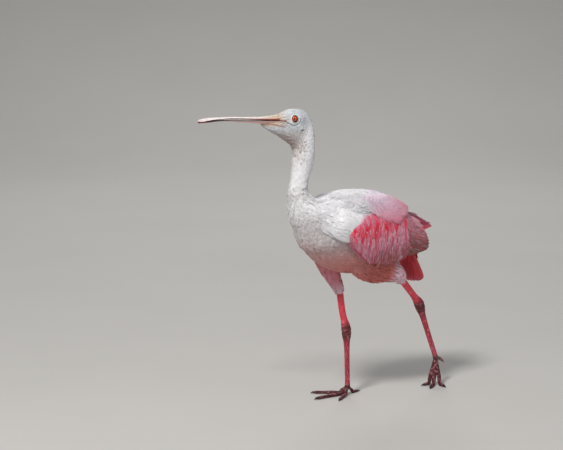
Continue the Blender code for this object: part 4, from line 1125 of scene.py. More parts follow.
@dataclass
class Bill:
    """Both halves of the spoon, each flat at the mouth and crowned outside, with a groove inside its rim."""

    split: float = 0.35
    ajar: float = 1.0
    rim: float = 0.9
    roll: float = math.tan(math.radians(3.0))
    stations: int = 220
    across: int = 44

    def half(self, upper: bool) -> Surface:
        """Return one mandible.

        Its crown is the flat line's height plus the rim and a circle's arc of the half width, and
        bells across it make the groove, the nostrils and the ridge down the middle.

        Args:
            upper: Whether it is the upper one.

        Returns:
            Its surface with its colours.
        """
        place = np.linspace(0, len(BILL_ROWS) - 1, self.stations)
        x, top, mouth, bottom, half = smooth_rows(BILL_ROWS, place).T
        share = place / place[-1]
        sign = 1 if upper else -1
        flat = mouth + sign * (self.split + self.ajar * ease(share, 0.15, 0.45) * ease(share, 0.92, 0.78))
        outer = top if upper else bottom
        turn = np.linspace(0, np.pi, self.across)
        across = -np.cos(turn)
        swell = np.sin(turn)
        rim = np.minimum(self.rim, 0.5 * np.abs(outer - flat))[:, None]
        crown = flat[:, None] + sign * rim + (outer[:, None] - flat[:, None] - sign * rim) * swell
        wide = np.abs(across)[None]
        spoon = ease(share, 0.55, 0.8)[:, None]
        base = 1 - ease(share, 0.05, 0.35)[:, None]
        relief = -0.55 * bump(wide, 0.86, 0.06) * ease(share, 0.15, 0.4)[:, None]
        relief = relief - 0.5 * spoon * bump(wide, 0.45, 0.22) + 0.35 * spoon * bump(wide, 0, 0.14)
        knobs = np.sin(0.75 * x)[:, None] * np.sin(7 * across)[None] + 0.5 * np.sin(1.7 * x + 1)[:, None]
        relief = relief + 0.22 * knobs * (0.35 + base) * (1 - 0.7 * spoon) * ease(swell, 0.1, 0.5)[None]
        ripples = np.sin(0.55 * x + 0.6 * np.sin(0.13 * x))[:, None] * np.ones_like(wide)
        relief = relief + 0.12 * ripples * swell
        if upper:
            nostril = np.exp(-((x[:, None] + 180.5) / 3.4) ** 2 - ((wide - 0.52) / 0.13) ** 2)
            relief = relief - 1.1 * nostril
        crown = crown + sign * relief * swell ** 0.3
        outside = np.stack([np.repeat(x[:, None], self.across, 1), half[:, None] * across, crown], axis=-1)
        back = np.linspace(0.94, -0.94, 12)
        hollow = 0.35 * np.minimum(1, np.abs(outer - flat) * 0.4)[:, None] * (1 - back**2)
        inside = np.stack([np.repeat(x[:, None], 12, 1), half[:, None] * back,
                           flat[:, None] + sign * hollow], axis=-1)
        rings = np.concatenate([outside, inside], axis=1)
        rings[..., 2] -= rings[..., 1] * self.roll * ease(share, 0.3, 0.8)[:, None]
        rings = turn_head(rings)
        # The inner faces take near black, painted shade for the gap between the mandibles.
        tint = np.concatenate([self.colour(upper, share[:, None], wide, swell[None]),
                               np.broadcast_to(Tone.MOUTH_GAP_SHADE, (self.stations, 12, 3))], axis=1)
        return tube(rings, tint)

    def colour(self, upper: bool, share: Array, wide: Array, swell: Array) -> Array:
        """Return the horn's colour: warm at the base, pale grey on, dark red along the mouth's edge."""
        share, wide, swell = np.broadcast_arrays(share, wide, swell)
        if upper:
            colour = blend(even(Tone.SKIN_WARM, share), Tone.HORN, ease(share, 0.1, 0.42))
            colour = blend(colour, Tone.HORN_BLUE, 0.6 * ease(share, 0.62, 0.9) * (1 - bump(wide, 0, 0.3)))
        else:
            colour = blend(even(Tone.HORN_PINK, share), Tone.HORN, 0.4 * ease(share, 0.3, 0.6))
            colour = blend(colour, Tone.SKIN_WARM, 0.7 * ease(share, 0.2, 0.08))
            colour = blend(colour, Tone.HORN_RED, ease(share, 0.93, 0.985))
        dark = ease(wide, 0.9, 0.98) * (0.95 if upper else 0.4)
        return blend(colour, blend(Tone.MOUTH + 0 * colour, Tone.HORN_RED, 0.6 * ease(share, 0.7, 0.9)), dark)

    def build(self, finish: bpy.types.Material) -> None:
        """Build both mandibles."""
        add_piece("bill_upper_horn", self.half(True), finish, Slot.BILL_TOP, ["bill_upper"])
        add_piece("bill_lower_horn", self.half(False), finish, Slot.BILL_BOTTOM, ["bill_lower"])


@dataclass
class Eye:
    """An eyeball with a cornea's bulge, iris, pupil and dark rim."""

    side: Side
    pupil: float = 1.75
    iris: float = 4.7

    def build(self, finish: bpy.types.Material) -> None:
        """Build the ball as a sphere of rings about its own axis, raised by a bell over the iris."""
        out = unit(np.array([-0.24, self.side.value, 0.1]))
        up = unit(np.cross(out, [1, 0, 0]))
        ahead = np.cross(up, out)
        ring = np.linspace(0.02, np.pi - 0.02, 60)[:, None]
        turn = circle(64)[None]
        radius = EYE_RADIUS + 0.35 * np.exp(-(ring / 0.5) ** 4)
        around = np.cos(turn)[..., None] * up + np.sin(turn)[..., None] * ahead
        points = radius[..., None] * (np.cos(ring)[..., None] * out + np.sin(ring)[..., None] * around)
        points = points + EYE_PLACE * [1, self.side.value, 1]
        reach = np.broadcast_to(EYE_RADIUS * np.sin(ring), points.shape[:2])
        reach = np.where(np.broadcast_to(ring, reach.shape) > np.pi / 2, 9, reach)
        rays = 0.5 + 0.5 * np.sin(34 * turn + 3 * np.sin(7 * turn)) * np.ones_like(reach)
        colour = even(linear(190, 150, 140), reach)
        red = blend(even(linear(252, 58, 14), reach), linear(255, 128, 36), 0.6 * rays)
        colour = blend(colour, red, 1 - ease(reach, self.iris, self.iris + 0.35))
        colour = blend(colour, linear(70, 14, 10), 0.8 * bump(reach, self.iris, 0.35))
        colour = blend(colour, np.zeros(3) + 0.004, 1.0 - ease(reach, self.pupil - 0.15, self.pupil + 0.15))
        add_piece(f"eye_{self.side.word}_ball", tube(turn_head(points), colour), finish, Slot.EYE,
                  [f"eye_{self.side.word}"])


@dataclass
class Tract:
    """A stretch of the body's hull and the feathers that it grows."""

    name: str
    stations: tuple[float, float]
    angles: tuple[float, float]
    spacing: float
    length: float
    width: float
    low: float
    high: float
    ruffle: float = 0.35
    stray: float = 0.12
    slot: Slot = Slot.WHITE


class BodyPlumage:
    """The small feathers of neck, breast, belly, back and rump, tract by tract."""

    tracts = (
        Tract("neck", (5.9, 13.6), (0, 360), 2.4, 11, 4.2, -1.4, 0, 0.14, 0.08),
        Tract("collar", (12.6, 17.8), (0, 360), 2.8, 13, 6, -2.4, 0.6, 0.45, 0.2),
        Tract("breast", (16.8, 21.8), (0, 360), 3.4, 17, 7, -3, 0.4, 0.3, 0.12),
        Tract("belly", (20.3, 26.6), (96, 264), 3.4, 17, 6.5, -3, 0.2, 0.35, 0.12, Slot.ROSE),
        Tract("back", (20.6, 25.6), (-62, 62), 4, 24, 8, -2.6, 1, 0.15, 0.06),
        Tract("rump", (24.8, 27.9), (0, 360), 3.6, 20, 6, -2.4, 0.5, 0.4, 0.12, Slot.CRIMSON),
    )

    @staticmethod
    def overhang(roots: Array) -> Array:
        """Return how far the breast's lower feathers stand out where it ends over the belly."""
        degrees = np.degrees(roots[:, 1])
        degrees = np.minimum(degrees, 360 - degrees)
        end = 20.3 - 0.75 * ease(degrees, 116, 170) - roots[:, 0]
        return 2 * ease(degrees, 88, 112) * ease(end, 1.5, 0.4) * ease(end, -0.15, 0.1)

    def build(self, finish: bpy.types.Material) -> None:
        """Lay every tract's feathers backwards along the hull, each a little astray."""
        hull = Hull(BODY_ROWS)
        for number, tract in enumerate(self.tracts):
            rng = np.random.default_rng(100 + number)
            roots = scatter(hull, tract.stations, tract.angles, tract.spacing, rng)
            count = len(roots)
            length = tract.length * rng.uniform(0.8, 1.2, count) * np.where(roots[:, 0] < 7.4, 0.6, 1)
            tips = onwards(hull, roots, length, tract.stray * rng.standard_normal(count))
            tips[:, 0] = np.minimum(tips[:, 0], hull.last + 0.35)
            high = tract.high + tract.ruffle * rng.standard_normal(count)
            if tract.name == "breast":
                high = high + self.overhang(roots)
            if tract.name == "back":
                high = high + 3.5 * ease(roots[:, 0], 20.6, 22.5) * (1 - ease(roots[:, 0], 24.4, 25.6))
            lay = Lay(roots, tips, tract.width * rng.uniform(0.8, 1.2, count), np.full(count, tract.low),
                      high,
                      0.06 * rng.standard_normal(count))
            coat = lay_feathers(hull, lay, Pattern(), body_tint, rng)
            add_piece(f"plumage_{tract.name}", coat, finish, tract.slot)


class ThighPlumage:
    """The soft feathers of both thighs, laid down them."""

    def build(self, finish: bpy.types.Material) -> None:
        """Lay the feathers of each thigh on its tube."""
        for number, side in enumerate(Side):
            rng = np.random.default_rng(200 + number)
            sheet = Tube(THIGH_ROWS[side.word])
            roots = scatter(sheet, (0.2, sheet.last - 0.5), (0, 360), 3.4, rng)
            count = len(roots)
            length = 17 * rng.uniform(0.75, 1.2, count)
            tips = onwards(sheet, roots, length, 0.2 * rng.standard_normal(count))
            tips[:, 0] = np.minimum(tips[:, 0], sheet.last + 0.3)
            high = 0.5 + 0.7 * rng.standard_normal(count) * ease(roots[:, 0], 0, 3)
            lay = Lay(roots, tips, rng.uniform(3.0, 4.4, count), np.full(count, -2.4), high,
                      0.08 * rng.standard_normal(count))
            coat = lay_feathers(sheet, lay, Pattern(), thigh_tint(side), rng)
            add_piece(f"plumage_thigh_{side.word}", coat, finish, Slot.ROSE)


LONG_FEATHER = Pattern(rows=14, columns=7, outline=((0, 0.15, 0.5, 0.85, 0.95, 1),
                                                    (0.3, 0.75, 1, 0.9, 0.6, 0.1)),
                       camber=0.08, thickness=0.5, tilt=0.1, rise=0.45)
SILKY_TUFT = Pattern(rows=5, columns=3, outline=((0, 0.25, 0.6, 1), (0.5, 1, 0.7, 0.04)),
                     camber=0.12, thickness=0.4, rise=0.5, curl=-0.6)


@dataclass
class Wing:
    """A folded wing: its arm, tiers of flight feathers and coverts, and the silky plumage over them."""

    side: Side
    arm_lift: float = 1.5
    arm_thickness: float = 5.5
    cover: float = 0.85

    def __post_init__(self) -> None:
        self.sheet = wing_sheet(self.side)
        self.rng = np.random.default_rng(300 if self.side is Side.LEFT else 301)
        self.mirror = self.side is Side.RIGHT

    def fan(self, across: Array, down: Array, hung: bool = False) -> Array:
        """Return places on the sheet by the share along the forearm, or the line hung from, and down to the tips."""
        starts, ends = (HANG_ROOTS, HANG_TIPS) if hung else (FOREARM, REMEX_TIPS[self.side])
        root = smooth_rows(starts, np.asarray(across) * (len(starts) - 1))
        tip = smooth_rows(ends, np.asarray(across) * (len(ends) - 1))
        place = root + (tip - root) * np.asarray(down)[..., None]
        return np.stack([place[..., 0], np.radians(place[..., 1])], axis=-1)

    def arm_height(self, station: Array, angle: Array) -> Array:
        """Return how high the arm stands off the sheet: a circle's arc across it, swelling along it."""
        rows = np.array(ARM)
        middle = np.radians(np.interp(station, rows[:, 0], rows[:, 1]))
        half = np.interp(station, rows[:, 0], rows[:, 2])
        order = np.interp(station, rows[:, 0], np.linspace(0.08, 0.92, len(rows)), left=0, right=1)
        off = (angle - middle) * self.sheet.scales(station, angle)[1] / half
        arc = np.sqrt(np.clip(1 - off**2, 0, 1))
        return self.arm_lift + self.arm_thickness * np.sqrt(np.clip(np.sin(np.pi * order), 0, 1)) * arc

    def arm(self) -> Surface:
        """Return the arm's skin, a closed pad on the sheet a little inside the solid one."""
        rows, around = 40, 48
        station, angle, half = smooth_rows(ARM, np.linspace(0, len(ARM) - 1, rows)).T
        corner = circle(around)
        scale = self.sheet.scales(station, np.radians(angle))[1]
        turn = np.radians(angle)[:, None] + (0.94 * half / scale)[:, None] * np.cos(corner)
        swell = np.sqrt(np.sin(np.pi * np.linspace(0.08, 0.92, rows)))[:, None] * np.sin(corner)
        lift = self.arm_lift + (self.arm_thickness - 1.2) * swell
        points = self.sheet.point(station[:, None], turn, lift)
        if self.mirror:
            points[..., 1] *= -1
        tint = wing_tint(np.broadcast_to(station[:, None], turn.shape), turn)
        return tube(points, tint)

    def tier(self, roots: Array, tips: Array, width: float, lifts: tuple[float, float], cells: tuple[int,
                                                                                                     int],
             tint: Callable[[Array, Array], Array]) -> Surface:
        """Return a row of long vanes, one from each root to the tip of the same order."""
        count = len(roots)
        shake = self.rng.uniform(-1, 1, (count, 2)) * [0.03, 0.006]
        lay = Lay(roots, tips + shake, width * self.rng.uniform(0.94, 1.06, count), np.full(count, lifts[0]),
                  np.full(count, lifts[1]), 0.012 * self.rng.standard_normal(count), cells)
        return lay_feathers(self.sheet, lay, LONG_FEATHER, tint, self.rng, self.mirror, 0.05)

    def flight(self) -> Surface:
        """Return primaries, secondaries with tertials, and both rows of coverts."""
        cells = 10
        hand = smooth_rows(HAND, np.linspace(0, len(HAND) - 1, 9)) * IN_RADIANS
        ends = np.array(PRIMARY_TIPS[self.side])
        tips = smooth_rows(ends, np.linspace(0, len(ends) - 1, 9)) * IN_RADIANS
        made = [self.tier(hand, tips, 13, (-1.7, -1.7), (0, cells), self.flight_tint)]
        along = np.linspace(0, 1, 21)
        made.append(self.tier(self.fan(along, 0 * along), self.fan(along, 0 * along + 1), 15, (1.5, 1.5),
                              (9, cells), self.flight_tint))
        for count, width, lifts, reach, start in ((17, 16, (3.2, 4.6), 0.64, 30), (16, 15, (4, 6.6), 0.42,
                                                                                   47)):
            along = np.linspace(0.07, self.cover, count)
            made.append(self.tier(self.fan(along, 0 * along), self.fan(along, 0 * along + reach), width,
                                  lifts,
                                  (start, cells), self.covert_tint))
        return join(made)

    def flight_tint(self, station: Array, angle: Array) -> Array:
        """Return the flight feathers' mauve pink, darker and redder towards the lower edge; on the left wing its
        rear turns dark brown, painted shade where the wing curves away from the light over a browner tone.
        """
        degrees = np.degrees(angle)
        colour = blend(even(Tone.MAUVE, station), Tone.PINK, 0.6 * ease(station, 4, 2))
        if self.side is Side.RIGHT:
            colour = blend(even(Tone.PINK, station), Tone.LILAC, 0.7 * ease(degrees, 44, 36))
            colour = blend(colour, Tone.ROSE, 0.8 * ease(degrees, 40, 52))
            return blend(colour, Tone.CARMINE, 0.85 * ease(degrees, 76, 90))
        colour = blend(colour, Tone.PINK, 0.7 * ease(degrees, 78, 50))
        # On the left wing the rear of the lower edge turns dark brown: painted shade where the wing curves away from
        # the light, over a browner tone.
        rear = ease(station, 3.9, 5.2)
        colour = blend(colour, Tone.ROSE, 0.7 * (1 - rear) * ease(degrees, 90, 116))
        return blend(colour, linear(124, 64, 54), 0.85 * rear * ease(degrees, 70, 108))

    def covert_tint(self, station: Array, angle: Array) -> Array:
        """Return the coverts' pink, rosier below."""
        colour = even(Tone.PINK, station)
        return blend(colour, Tone.ROSE, 0.7 * ease(np.degrees(angle), 80, 112))

    def strands(self, rows: Array, each: tuple[int, int], span: tuple[float, float]) -> tuple[Array, Array]:
        """Return jittered shares across and down the fan, row by row, more in each lower row."""
        across, down = [], []
        for number, place in enumerate(rows):
            count = int(each[0] + (each[1] - each[0]) * place)
            spread = (np.arange(count) + 0.5 * (number % 2) + self.rng.uniform(-0.5, 0.5, count)) / count
            across.append(span[0] + (span[1] - span[0]) * spread)
            down.append(place + self.rng.uniform(-0.025, 0.025, count))
        return np.clip(np.concatenate(across), 0, 1), np.maximum(np.concatenate(down), 0)

    def hanging(self) -> Surface:
        """Return the silky tufts that hang over the forearm, carmine where they start and pale at their ends."""
        across, down = self.strands(np.linspace(0, 0.86, 22), (56, 84), (0, 1))
        count = len(across)
        length = self.rng.uniform(0.22, 0.36, count) * (1 - 0.3 * down)
        end = np.clip(across + 0.012 * self.rng.standard_normal(count), 0, 1)
        stop = 0.97 + 0.05 * self.rng.standard_normal(count)
        roots, tips = self.fan(across, down, True), self.fan(end, np.minimum(down + length, stop), True)
        low = np.interp(down, (0, 0.2, 0.5, 0.9), (5, 6.4, 5.4, 3))
        high = np.interp(down, (0, 0.2, 0.5, 0.8), (9.2, 9.6, 8.6,
                                                    6.2)) + 0.25 * self.rng.standard_normal(count)
        own, pale = self.rng.random((2, count, 1))

        def tint(station: Array, angle: Array) -> Array:
            along = down[:, None] + length[:, None] * np.linspace(0, 1, station.shape[1])
            side = across[:, None] + 0.0 * along
            lock = 0.5 + 0.3 * np.sin(61 * side + 2 * np.sin(17 * side)) + 0.4 * (own - 0.5)
            colour = blend(even(Tone.PINK, along), Tone.ROSE, 0.9 * ease(lock, 0.3, 0.7))
            colour = blend(colour, Tone.BLUSH, 0.45 * ease(pale, 0.62, 0.9) * ease(along, 0.15, 0.4))
            # Painted shade: the tufts' lower ends towards the rear darken to a warm rust.
            warm = ease(along, 0.4, 0.95) * ease(side, 0.3, 0.75) * ease(pale, 0.9, 0.65)
            colour = blend(colour, linear(150, 74, 66), 0.75 * warm)
            fall = np.interp(side, (0, 0.2, 0.45, 0.7, 0.85, 1), (0.62, 0.58, 0.58, 0.42, 0.34, 0.3))
            fall = fall * (0.75 + 0.5 * lock)
            top = 1 - 0.85 * ease(along, 0.26, 0.1) * ease(side, 0.08, 0.24) * ease(own, 0.1, 0.4)
            patch = 0.7 + 0.3 * np.sin(40.0 * side + 11.0 * along + 3.0)
            band = (1 - ease(along, fall - 0.14, fall + 0.08)) * top * patch * (1 - 0.9 * ease(pale, 0.7,
                                                                                               0.9))
            return blend(colour, Tone.CARMINE, np.clip(band, 0, 1))

        lay = Lay(roots, tips, self.rng.uniform(3, 5, count), low, high,
                  0.03 * self.rng.standard_normal(count))
        return lay_feathers(self.sheet, lay, SILKY_TUFT, tint, self.rng, self.mirror, 0.04)

    def veil(self) -> Surface:
        """Return the long thin plumes over the rear flight feathers, mauve with a few carmine ones."""
        across, down = self.strands(np.linspace(0.02, 0.8, 15), (56, 92), (0.3, 0.97))
        keep = across < 0.97 - 0.1 * down
        across, down = across[keep], down[keep]
        count = len(across)
        length = self.rng.uniform(0.16, 0.26, count)
        end = np.clip(across + 0.01 * self.rng.standard_normal(count), 0, 1)
        roots, tips = self.fan(across, down), self.fan(end, np.minimum(down + length, 0.98))
        low = np.interp(down, (0, 0.3, 0.6, 0.9), (4, 4, 2.6, 1.4))
        high = np.interp(down, (0, 0.3, 0.6, 0.8), (8.6, 6.8, 4.8,
                                                    3.2)) + 0.3 * self.rng.standard_normal(count)
        rare = self.rng.random((count, 1))

        def tint(station: Array, angle: Array) -> Array:
            colour = blend(self.flight_tint(station, angle), Tone.PINK, 0.5 * ease(station, 5.4, 4.2))
            colour = blend(colour, Tone.BLUSH, 0.5 * ease(rare, 0.3, 0.0) + 0.0 * station)
            top = ease(station, 3.4, 4) * ease(station, 5.9, 5) * ease(np.degrees(angle), 66, 48)
            return blend(colour, Tone.CARMINE, np.maximum(0.8 * ease(rare, 0.9, 0.93),
                                                          0.7 * top * (rare > 0.5)))

        lay = Lay(roots, tips, self.rng.uniform(1.9, 3, count), low, high,
                  0.04 * self.rng.standard_normal(count))
        return lay_feathers(self.sheet, lay, SILKY_TUFT, tint, self.rng, self.mirror, 0.06)

    def cape_height(self, station: Array, angle: Array) -> Array:
        """Return the shoulder plumage's height: low on the body, high on the arm and towards the scapulars."""
        degrees = np.degrees(angle)
        arm = 1.7 * (self.arm_height(station, angle) - self.arm_lift)
        shelf = 9.5 * ease(station, 1.2, 2.4) * ease(station, 5.2, 4.2) * bump(degrees, 48, 20)
        back = 3.4 * ease(degrees, 60, 25) * ease(degrees, -4, 12)
        high = np.logaddexp(0.7 * arm, 0.7 * shelf) / 0.7 - 1
        return high + back - 2.5 + 4 * bump(station, 1.35, 0.6) * bump(degrees, 74, 22)

    def cape(self) -> Surface:
        """Return the shoulder's small feathers, from the back's ragged seam down over the arm."""
        roots = scatter(self.sheet, (0.1, 4.4), (0, 116), 3.3, self.rng)
        hung = np.array(HANG_ROOTS)
        edge = np.interp(roots[:, 0], hung[:, 0], hung[:, 1], left=118)
        edge = np.radians(np.minimum(edge, np.interp(roots[:, 0], (0.2, 1, 1.7), (114, 104, 96)))) + 0.02
        seam = np.interp(np.degrees(roots[:, 1]), (8, 32, 42), (2.1, 1.7, 4.4))
        roots = roots[(roots[:, 1] < edge) & (roots[:, 0] < seam)]
        count = len(roots)
        turn = 0.18 + 0.1 * self.rng.standard_normal(count)
        tips = onwards(self.sheet, roots, self.rng.uniform(14, 20, count), turn)
        low = self.cape_height(roots[:, 0], roots[:, 1]) - 1
        high = self.cape_height(tips[:, 0], tips[:, 1]) + 0.5 + 0.12 * self.rng.standard_normal(count)
        lay = Lay(roots, tips, self.rng.uniform(5.5, 8, count), low, high,
                  0.05 * self.rng.standard_normal(count))
        return lay_feathers(self.sheet, lay, Pattern(), wing_tint, self.rng, self.mirror)

    def build(self, plume: bpy.types.Material, long: bpy.types.Material) -> None:
        """Build the wing's pieces."""
        word = self.side.word
        add_piece(f"wing_{word}_arm", self.arm(), plume, Slot.PINK, [f"wing_{word}"])
        add_piece(f"wing_{word}_flight", self.flight(), long, Slot.PINK, [f"wing_{word}"])
        add_piece(f"wing_{word}_veil", self.veil(), plume, Slot.PINK)
        add_piece(f"wing_{word}_hanging", self.hanging(), plume, Slot.PINK)
        add_piece(f"wing_{word}_cape", self.cape(), plume, Slot.WHITE)


def wing_tint(station: Array, angle: Array) -> Array:
    """Return the colour over the shoulder: white, with a painted highlight brightest at the bend, painted lilac-grey
    shade above the bend and on the arm's front, and pink along the hanging plumage.
    """
    hung = np.array(HANG_ROOTS)
    above = np.interp(station, hung[:, 0], hung[:, 1]) - np.degrees(angle)
    # Painted highlight: the bend of the wing is painted brighter white, as if sunlit.
    bend = bump(station, 1.25, 1.1) * bump(np.degrees(angle), 76, 34)
    colour = blend(even(Tone.WHITE, station), linear(248, 247, 250), bend)
    # Painted shade: lilac grey above the bend and on the arm's front.
    shaded = np.maximum(0.75 * ease(np.degrees(angle), 66, 50), 0.6 * ease(station, 1, 0.4))
    colour = blend(colour, linear(202, 198, 206), shaded)
    colour = blend(colour, Tone.BLUSH, 0.8 * ease(station, 2.6, 3.8) * ease(above, 24, 8))
    return blend(colour, Tone.PINK, 0.8 * ease(station, 1.9, 2.5) * ease(above, 7, 1))


@dataclass
class Scapulars:
    """The shoulders' long feathers, in tiers over the tops of both wings."""

    count: int = 12
    width: float = 15.0
    reaches: tuple[float, ...] = (1.0, 0.8, 0.6)

    def line(self, share: Array, reach: Array | float) -> tuple[Array, Array]:
        """Return roots and ends at a share of the way from the roots' line to the tips'."""
        root = smooth_rows(SCAPULAR_ROOTS, share * (len(SCAPULAR_ROOTS) - 1)) * IN_RADIANS
        tip = smooth_rows(SCAPULAR_TIPS, share * (len(SCAPULAR_TIPS) - 1)) * IN_RADIANS
        return root, root + np.asarray(reach)[..., None] * (tip - root)

    @staticmethod
    def peak(share: Array) -> Array:
        """Return the lift of the tips: low in front, highest over the arm."""
        return np.interp(share, (0, 0.25, 0.5, 1), (5, 9.5, 11.2, 9))

    def build(self, plume: bpy.types.Material, long: bpy.types.Material) -> None:
        """Build both sides' tiers, the longest lowest, and the finer tufts that cover them."""
        sheet = Hull(WING_ROWS)
        for side in Side:
            rng = np.random.default_rng(400 if side is Side.LEFT else 401)
            made = []
            share = np.linspace(0.02, 0.98, self.count)
            for number, reach in enumerate(self.reaches):
                root, tip = self.line(share, np.full(self.count, reach))
                high = self.peak(share) - 1.2 + 0.5 * number
                lay = Lay(root, tip, np.full(self.count, self.width), np.full(self.count, -3.0 + number),
                          high,
                          0.02 * rng.standard_normal(self.count), (number * self.count, 7))
                made.append(lay_feathers(sheet, lay, LONG_FEATHER, self.tint, rng, side is Side.RIGHT, 0.03))
            add_piece(f"scapulars_{side.word}", join(made), long, Slot.PINK)
            add_piece(f"scapulars_{side.word}_tufts", self.tufts(sheet, side, rng), plume, Slot.PINK)

    def tufts(self, sheet: Sheet, side: Side, rng: np.random.Generator) -> Surface:
        """Return silky tufts from the roots' line over the scapulars, thinning out to their tips."""
        count = 1500
        share, down = rng.random(count), rng.uniform(-0.05, 0.82, count)
        start = self.line(share, down)[1]
        end = self.line(np.clip(share + 0.01 * rng.standard_normal(count), 0, 1),
                        np.minimum(down + rng.uniform(0.18, 0.3, count), 1.03))[1]
        low = self.peak(share) - 1.6 - 10.0 * (1.0 - ease(down, -0.15, 0.42))
        high = self.peak(share) + 0.4 - 4 * (1 - ease(down, -0.1, 0.3)) + 0.25 * rng.standard_normal(count)
        lay = Lay(start, end, rng.uniform(4, 6.5, count), low, high, 0.04 * rng.standard_normal(count))
        return lay_feathers(sheet, lay, SILKY_TUFT, self.tint, rng, side is Side.RIGHT, 0.04)

    @staticmethod
    def tint(station: Array, angle: Array) -> Array:
        """Return the scapulars' cool pale pink, paler at the top and white in front."""
        degrees = np.degrees(angle)
        colour = even(Tone.PINK, station)
        colour = blend(colour, Tone.LILAC, 0.9 * ease(degrees, 70, 30) * ease(station, 5.4, 3))
        colour = blend(colour, Tone.ROSE, 0.5 * ease(degrees + 7 * station, 82, 98))
        return blend(colour, Tone.WHITE, 1 - ease(station - 0.9 * ease(degrees, 30, 50), 1.3, 2.5))


@dataclass
class Tail:
    """Twelve tail feathers stacked in a fan, on a fleshy root, with carmine coverts over and under them."""

    pairs: int = 6
    width: float = 14.5
    step: float = 0.85
    rounding: float = 0.08

    def build(self, plume: bpy.types.Material, long: bpy.types.Material) -> None:
        """Build the feathers with the root, and the coverts."""
        fan = TailFan()
        rng = np.random.default_rng(500)
        order = np.repeat(np.arange(self.pairs), 2)
        side = np.tile([1, -1], self.pairs)
        out = (order + 0.5) / (self.pairs - 0.5)
        spread = side * out * fan.spread
        lift = -self.step * np.where(order > 0, order, -0.5 * (1 + side))
        roots = np.column_stack([np.full(2 * self.pairs, 0.02), 0.8 * spread])
        tips = np.column_stack([1 - self.rounding * out**2, spread])
        pattern = Pattern(rows=14, columns=7, outline=((0, 0.3, 0.7, 0.9, 0.97, 1),
                                                       (0.5, 0.85, 1, 0.95, 0.7, 0.3)),
                          camber=0.03, thickness=0.5)
        lay = Lay(roots, tips, np.full(len(roots), self.width), lift, lift, 0.006 * side, (0, 4))
        vanes = lay_feathers(fan, lay, pattern, self.tint, rng, False, 0.05)
        add_piece("tail_feathers", vanes, long, Slot.CRIMSON, ["tail"])
        add_piece("tail_root", self.root(fan), plume, Slot.CRIMSON, ["tail"])
        self.coverts(fan, rng, plume)

    def root(self, fan: TailFan) -> Surface:
        """Return the fleshy root, a loft of ellipses along the fan's middle."""
        rows = smooth_rows(((-0.14, 13, 11), (0.04, 15, 9), (0.2, 14, 5.5), (0.36, 9, 2)),
                           np.linspace(0, 3, 24))
        corner = circle(32)
        down, length = unit(fan.tip - fan.root), np.linalg.norm(fan.tip - fan.root)
        wide = np.array([0, -math.cos(fan.roll), -math.sin(fan.roll)])
        back = np.cross(wide, down)
        rings = (fan.root + down * (rows[:, :1] * length)[:, None] + wide * (rows[:,
                                                                                  1:2] * np.cos(corner))[..., None]
                 + back * (rows[:, 2:] * np.sin(corner))[..., None])
        return tube(rings, np.broadcast_to(Tone.CARMINE, rings.shape))

    def coverts(self, fan: TailFan, rng: np.random.Generator, plume: bpy.types.Material) -> None:
        """Lay tufts over both faces of the fan's first half."""
        made = []
        for face in (1, -1):
            roots = scatter(fan, (-0.08, 0.34), (-11.5, 11.5), 3.2, rng)
            count = len(roots)
            tips = onwards(fan, roots, rng.uniform(17, 25, count), 0.1 * rng.standard_normal(count))
            away = np.abs(roots[:, 1]) / fan.spread
            base = (4.6 if face > 0 else 5.6) - 4 * ease(roots[:, 0], 0, 0.4)
            low = face * (base + 3 * (1 - ease(roots[:, 0], -0.05, 0.15)) * (1 - away))
            high = face * (base + 0.6) - (1.4 if face > 0 else 0) * away
            lay = Lay(roots, tips, rng.uniform(3.4, 5, count), low, high, 0.05 * rng.standard_normal(count))
            made.append(lay_feathers(fan, lay, Pattern(), self.covert_tint, rng))
        add_piece("tail_coverts", join(made), plume, Slot.CRIMSON)

    @staticmethod
    def covert_tint(station: Array, angle: Array) -> Array:
        """Return carmine, deepening along the tail."""
        return blend(even(Tone.CARMINE, station), Tone.BLOOD, 0.5 * ease(station, 0.1, 0.6))

    @staticmethod
    def tint(station: Array, angle: Array) -> Array:
        """Return deep carmine with a pale edge at the tips."""
        colour = blend(even(Tone.CARMINE, station), Tone.BLOOD, 0.6 * ease(angle, 0.1, -0.16))
        return blend(colour, Tone.ROSE, 0.75 * ease(station, 0.86, 0.99))


def remeshed(surface: Surface, voxel: float, smoothings: int) -> Surface:
    """Fuse overlapping closed surfaces into one skin of small quads, and smooth it.

    Args:
        surface: The surfaces, in millimetres.
        voxel: The quads' size.
        smoothings: How many times each point moves half way to its neighbours' middle.

    Returns:
        The skin, without tint.
    """
    mesh = bpy.data.meshes.new("fused")
    faces = surface.quads.tolist() + (surface.triangles.tolist() if surface.triangles is not None else [])
    mesh.from_pydata(surface.points.tolist(), [], faces)
    block = bpy.data.objects.new("fused", mesh)
    bpy.context.scene.collection.objects.link(block)
    fuse = block.modifiers.new("fuse", "REMESH")
    fuse.mode = "VOXEL"
    fuse.voxel_size = voxel
    relax = block.modifiers.new("relax", "SMOOTH")
    relax.factor = 0.5
    relax.iterations = smoothings
    made = bpy.data.meshes.new_from_object(block.evaluated_get(bpy.context.evaluated_depsgraph_get()))
    points = np.zeros(len(made.vertices) * 3, np.float32)
    made.vertices.foreach_get("co", points)
    corners = np.zeros(len(made.loops), np.int32)
    made.loops.foreach_get("vertex_index", corners)
    bpy.data.objects.remove(block)
    for each in (mesh, made):
        bpy.data.meshes.remove(each)
    return Surface(points.reshape(-1, 3).astype(float), corners.reshape(-1, 4)).outwards()


def limb(rows: Array, around: int, across: Array) -> Array:
    """Return rings round a line of x, y, z and half width, square to it.

    Args:
        rows: The line's rows.
        around: Points on each ring.
        across: Roughly the direction in which a ring's first side vector points.

    Returns:
        Points of shape (rows, around, 3).
    """
    tangent = unit(np.gradient(rows[:, :3], axis=0))
    side = unit(across - (tangent @ across)[:, None] * tangent)
    front = np.cross(side, tangent)
    corner = circle(around)
    ring = np.cos(corner)[:, None] * front[:, None] + np.sin(corner)[:, None] * side[:, None]
    return rows[:, None, :3] + rows[:, None, 3:4] * ring


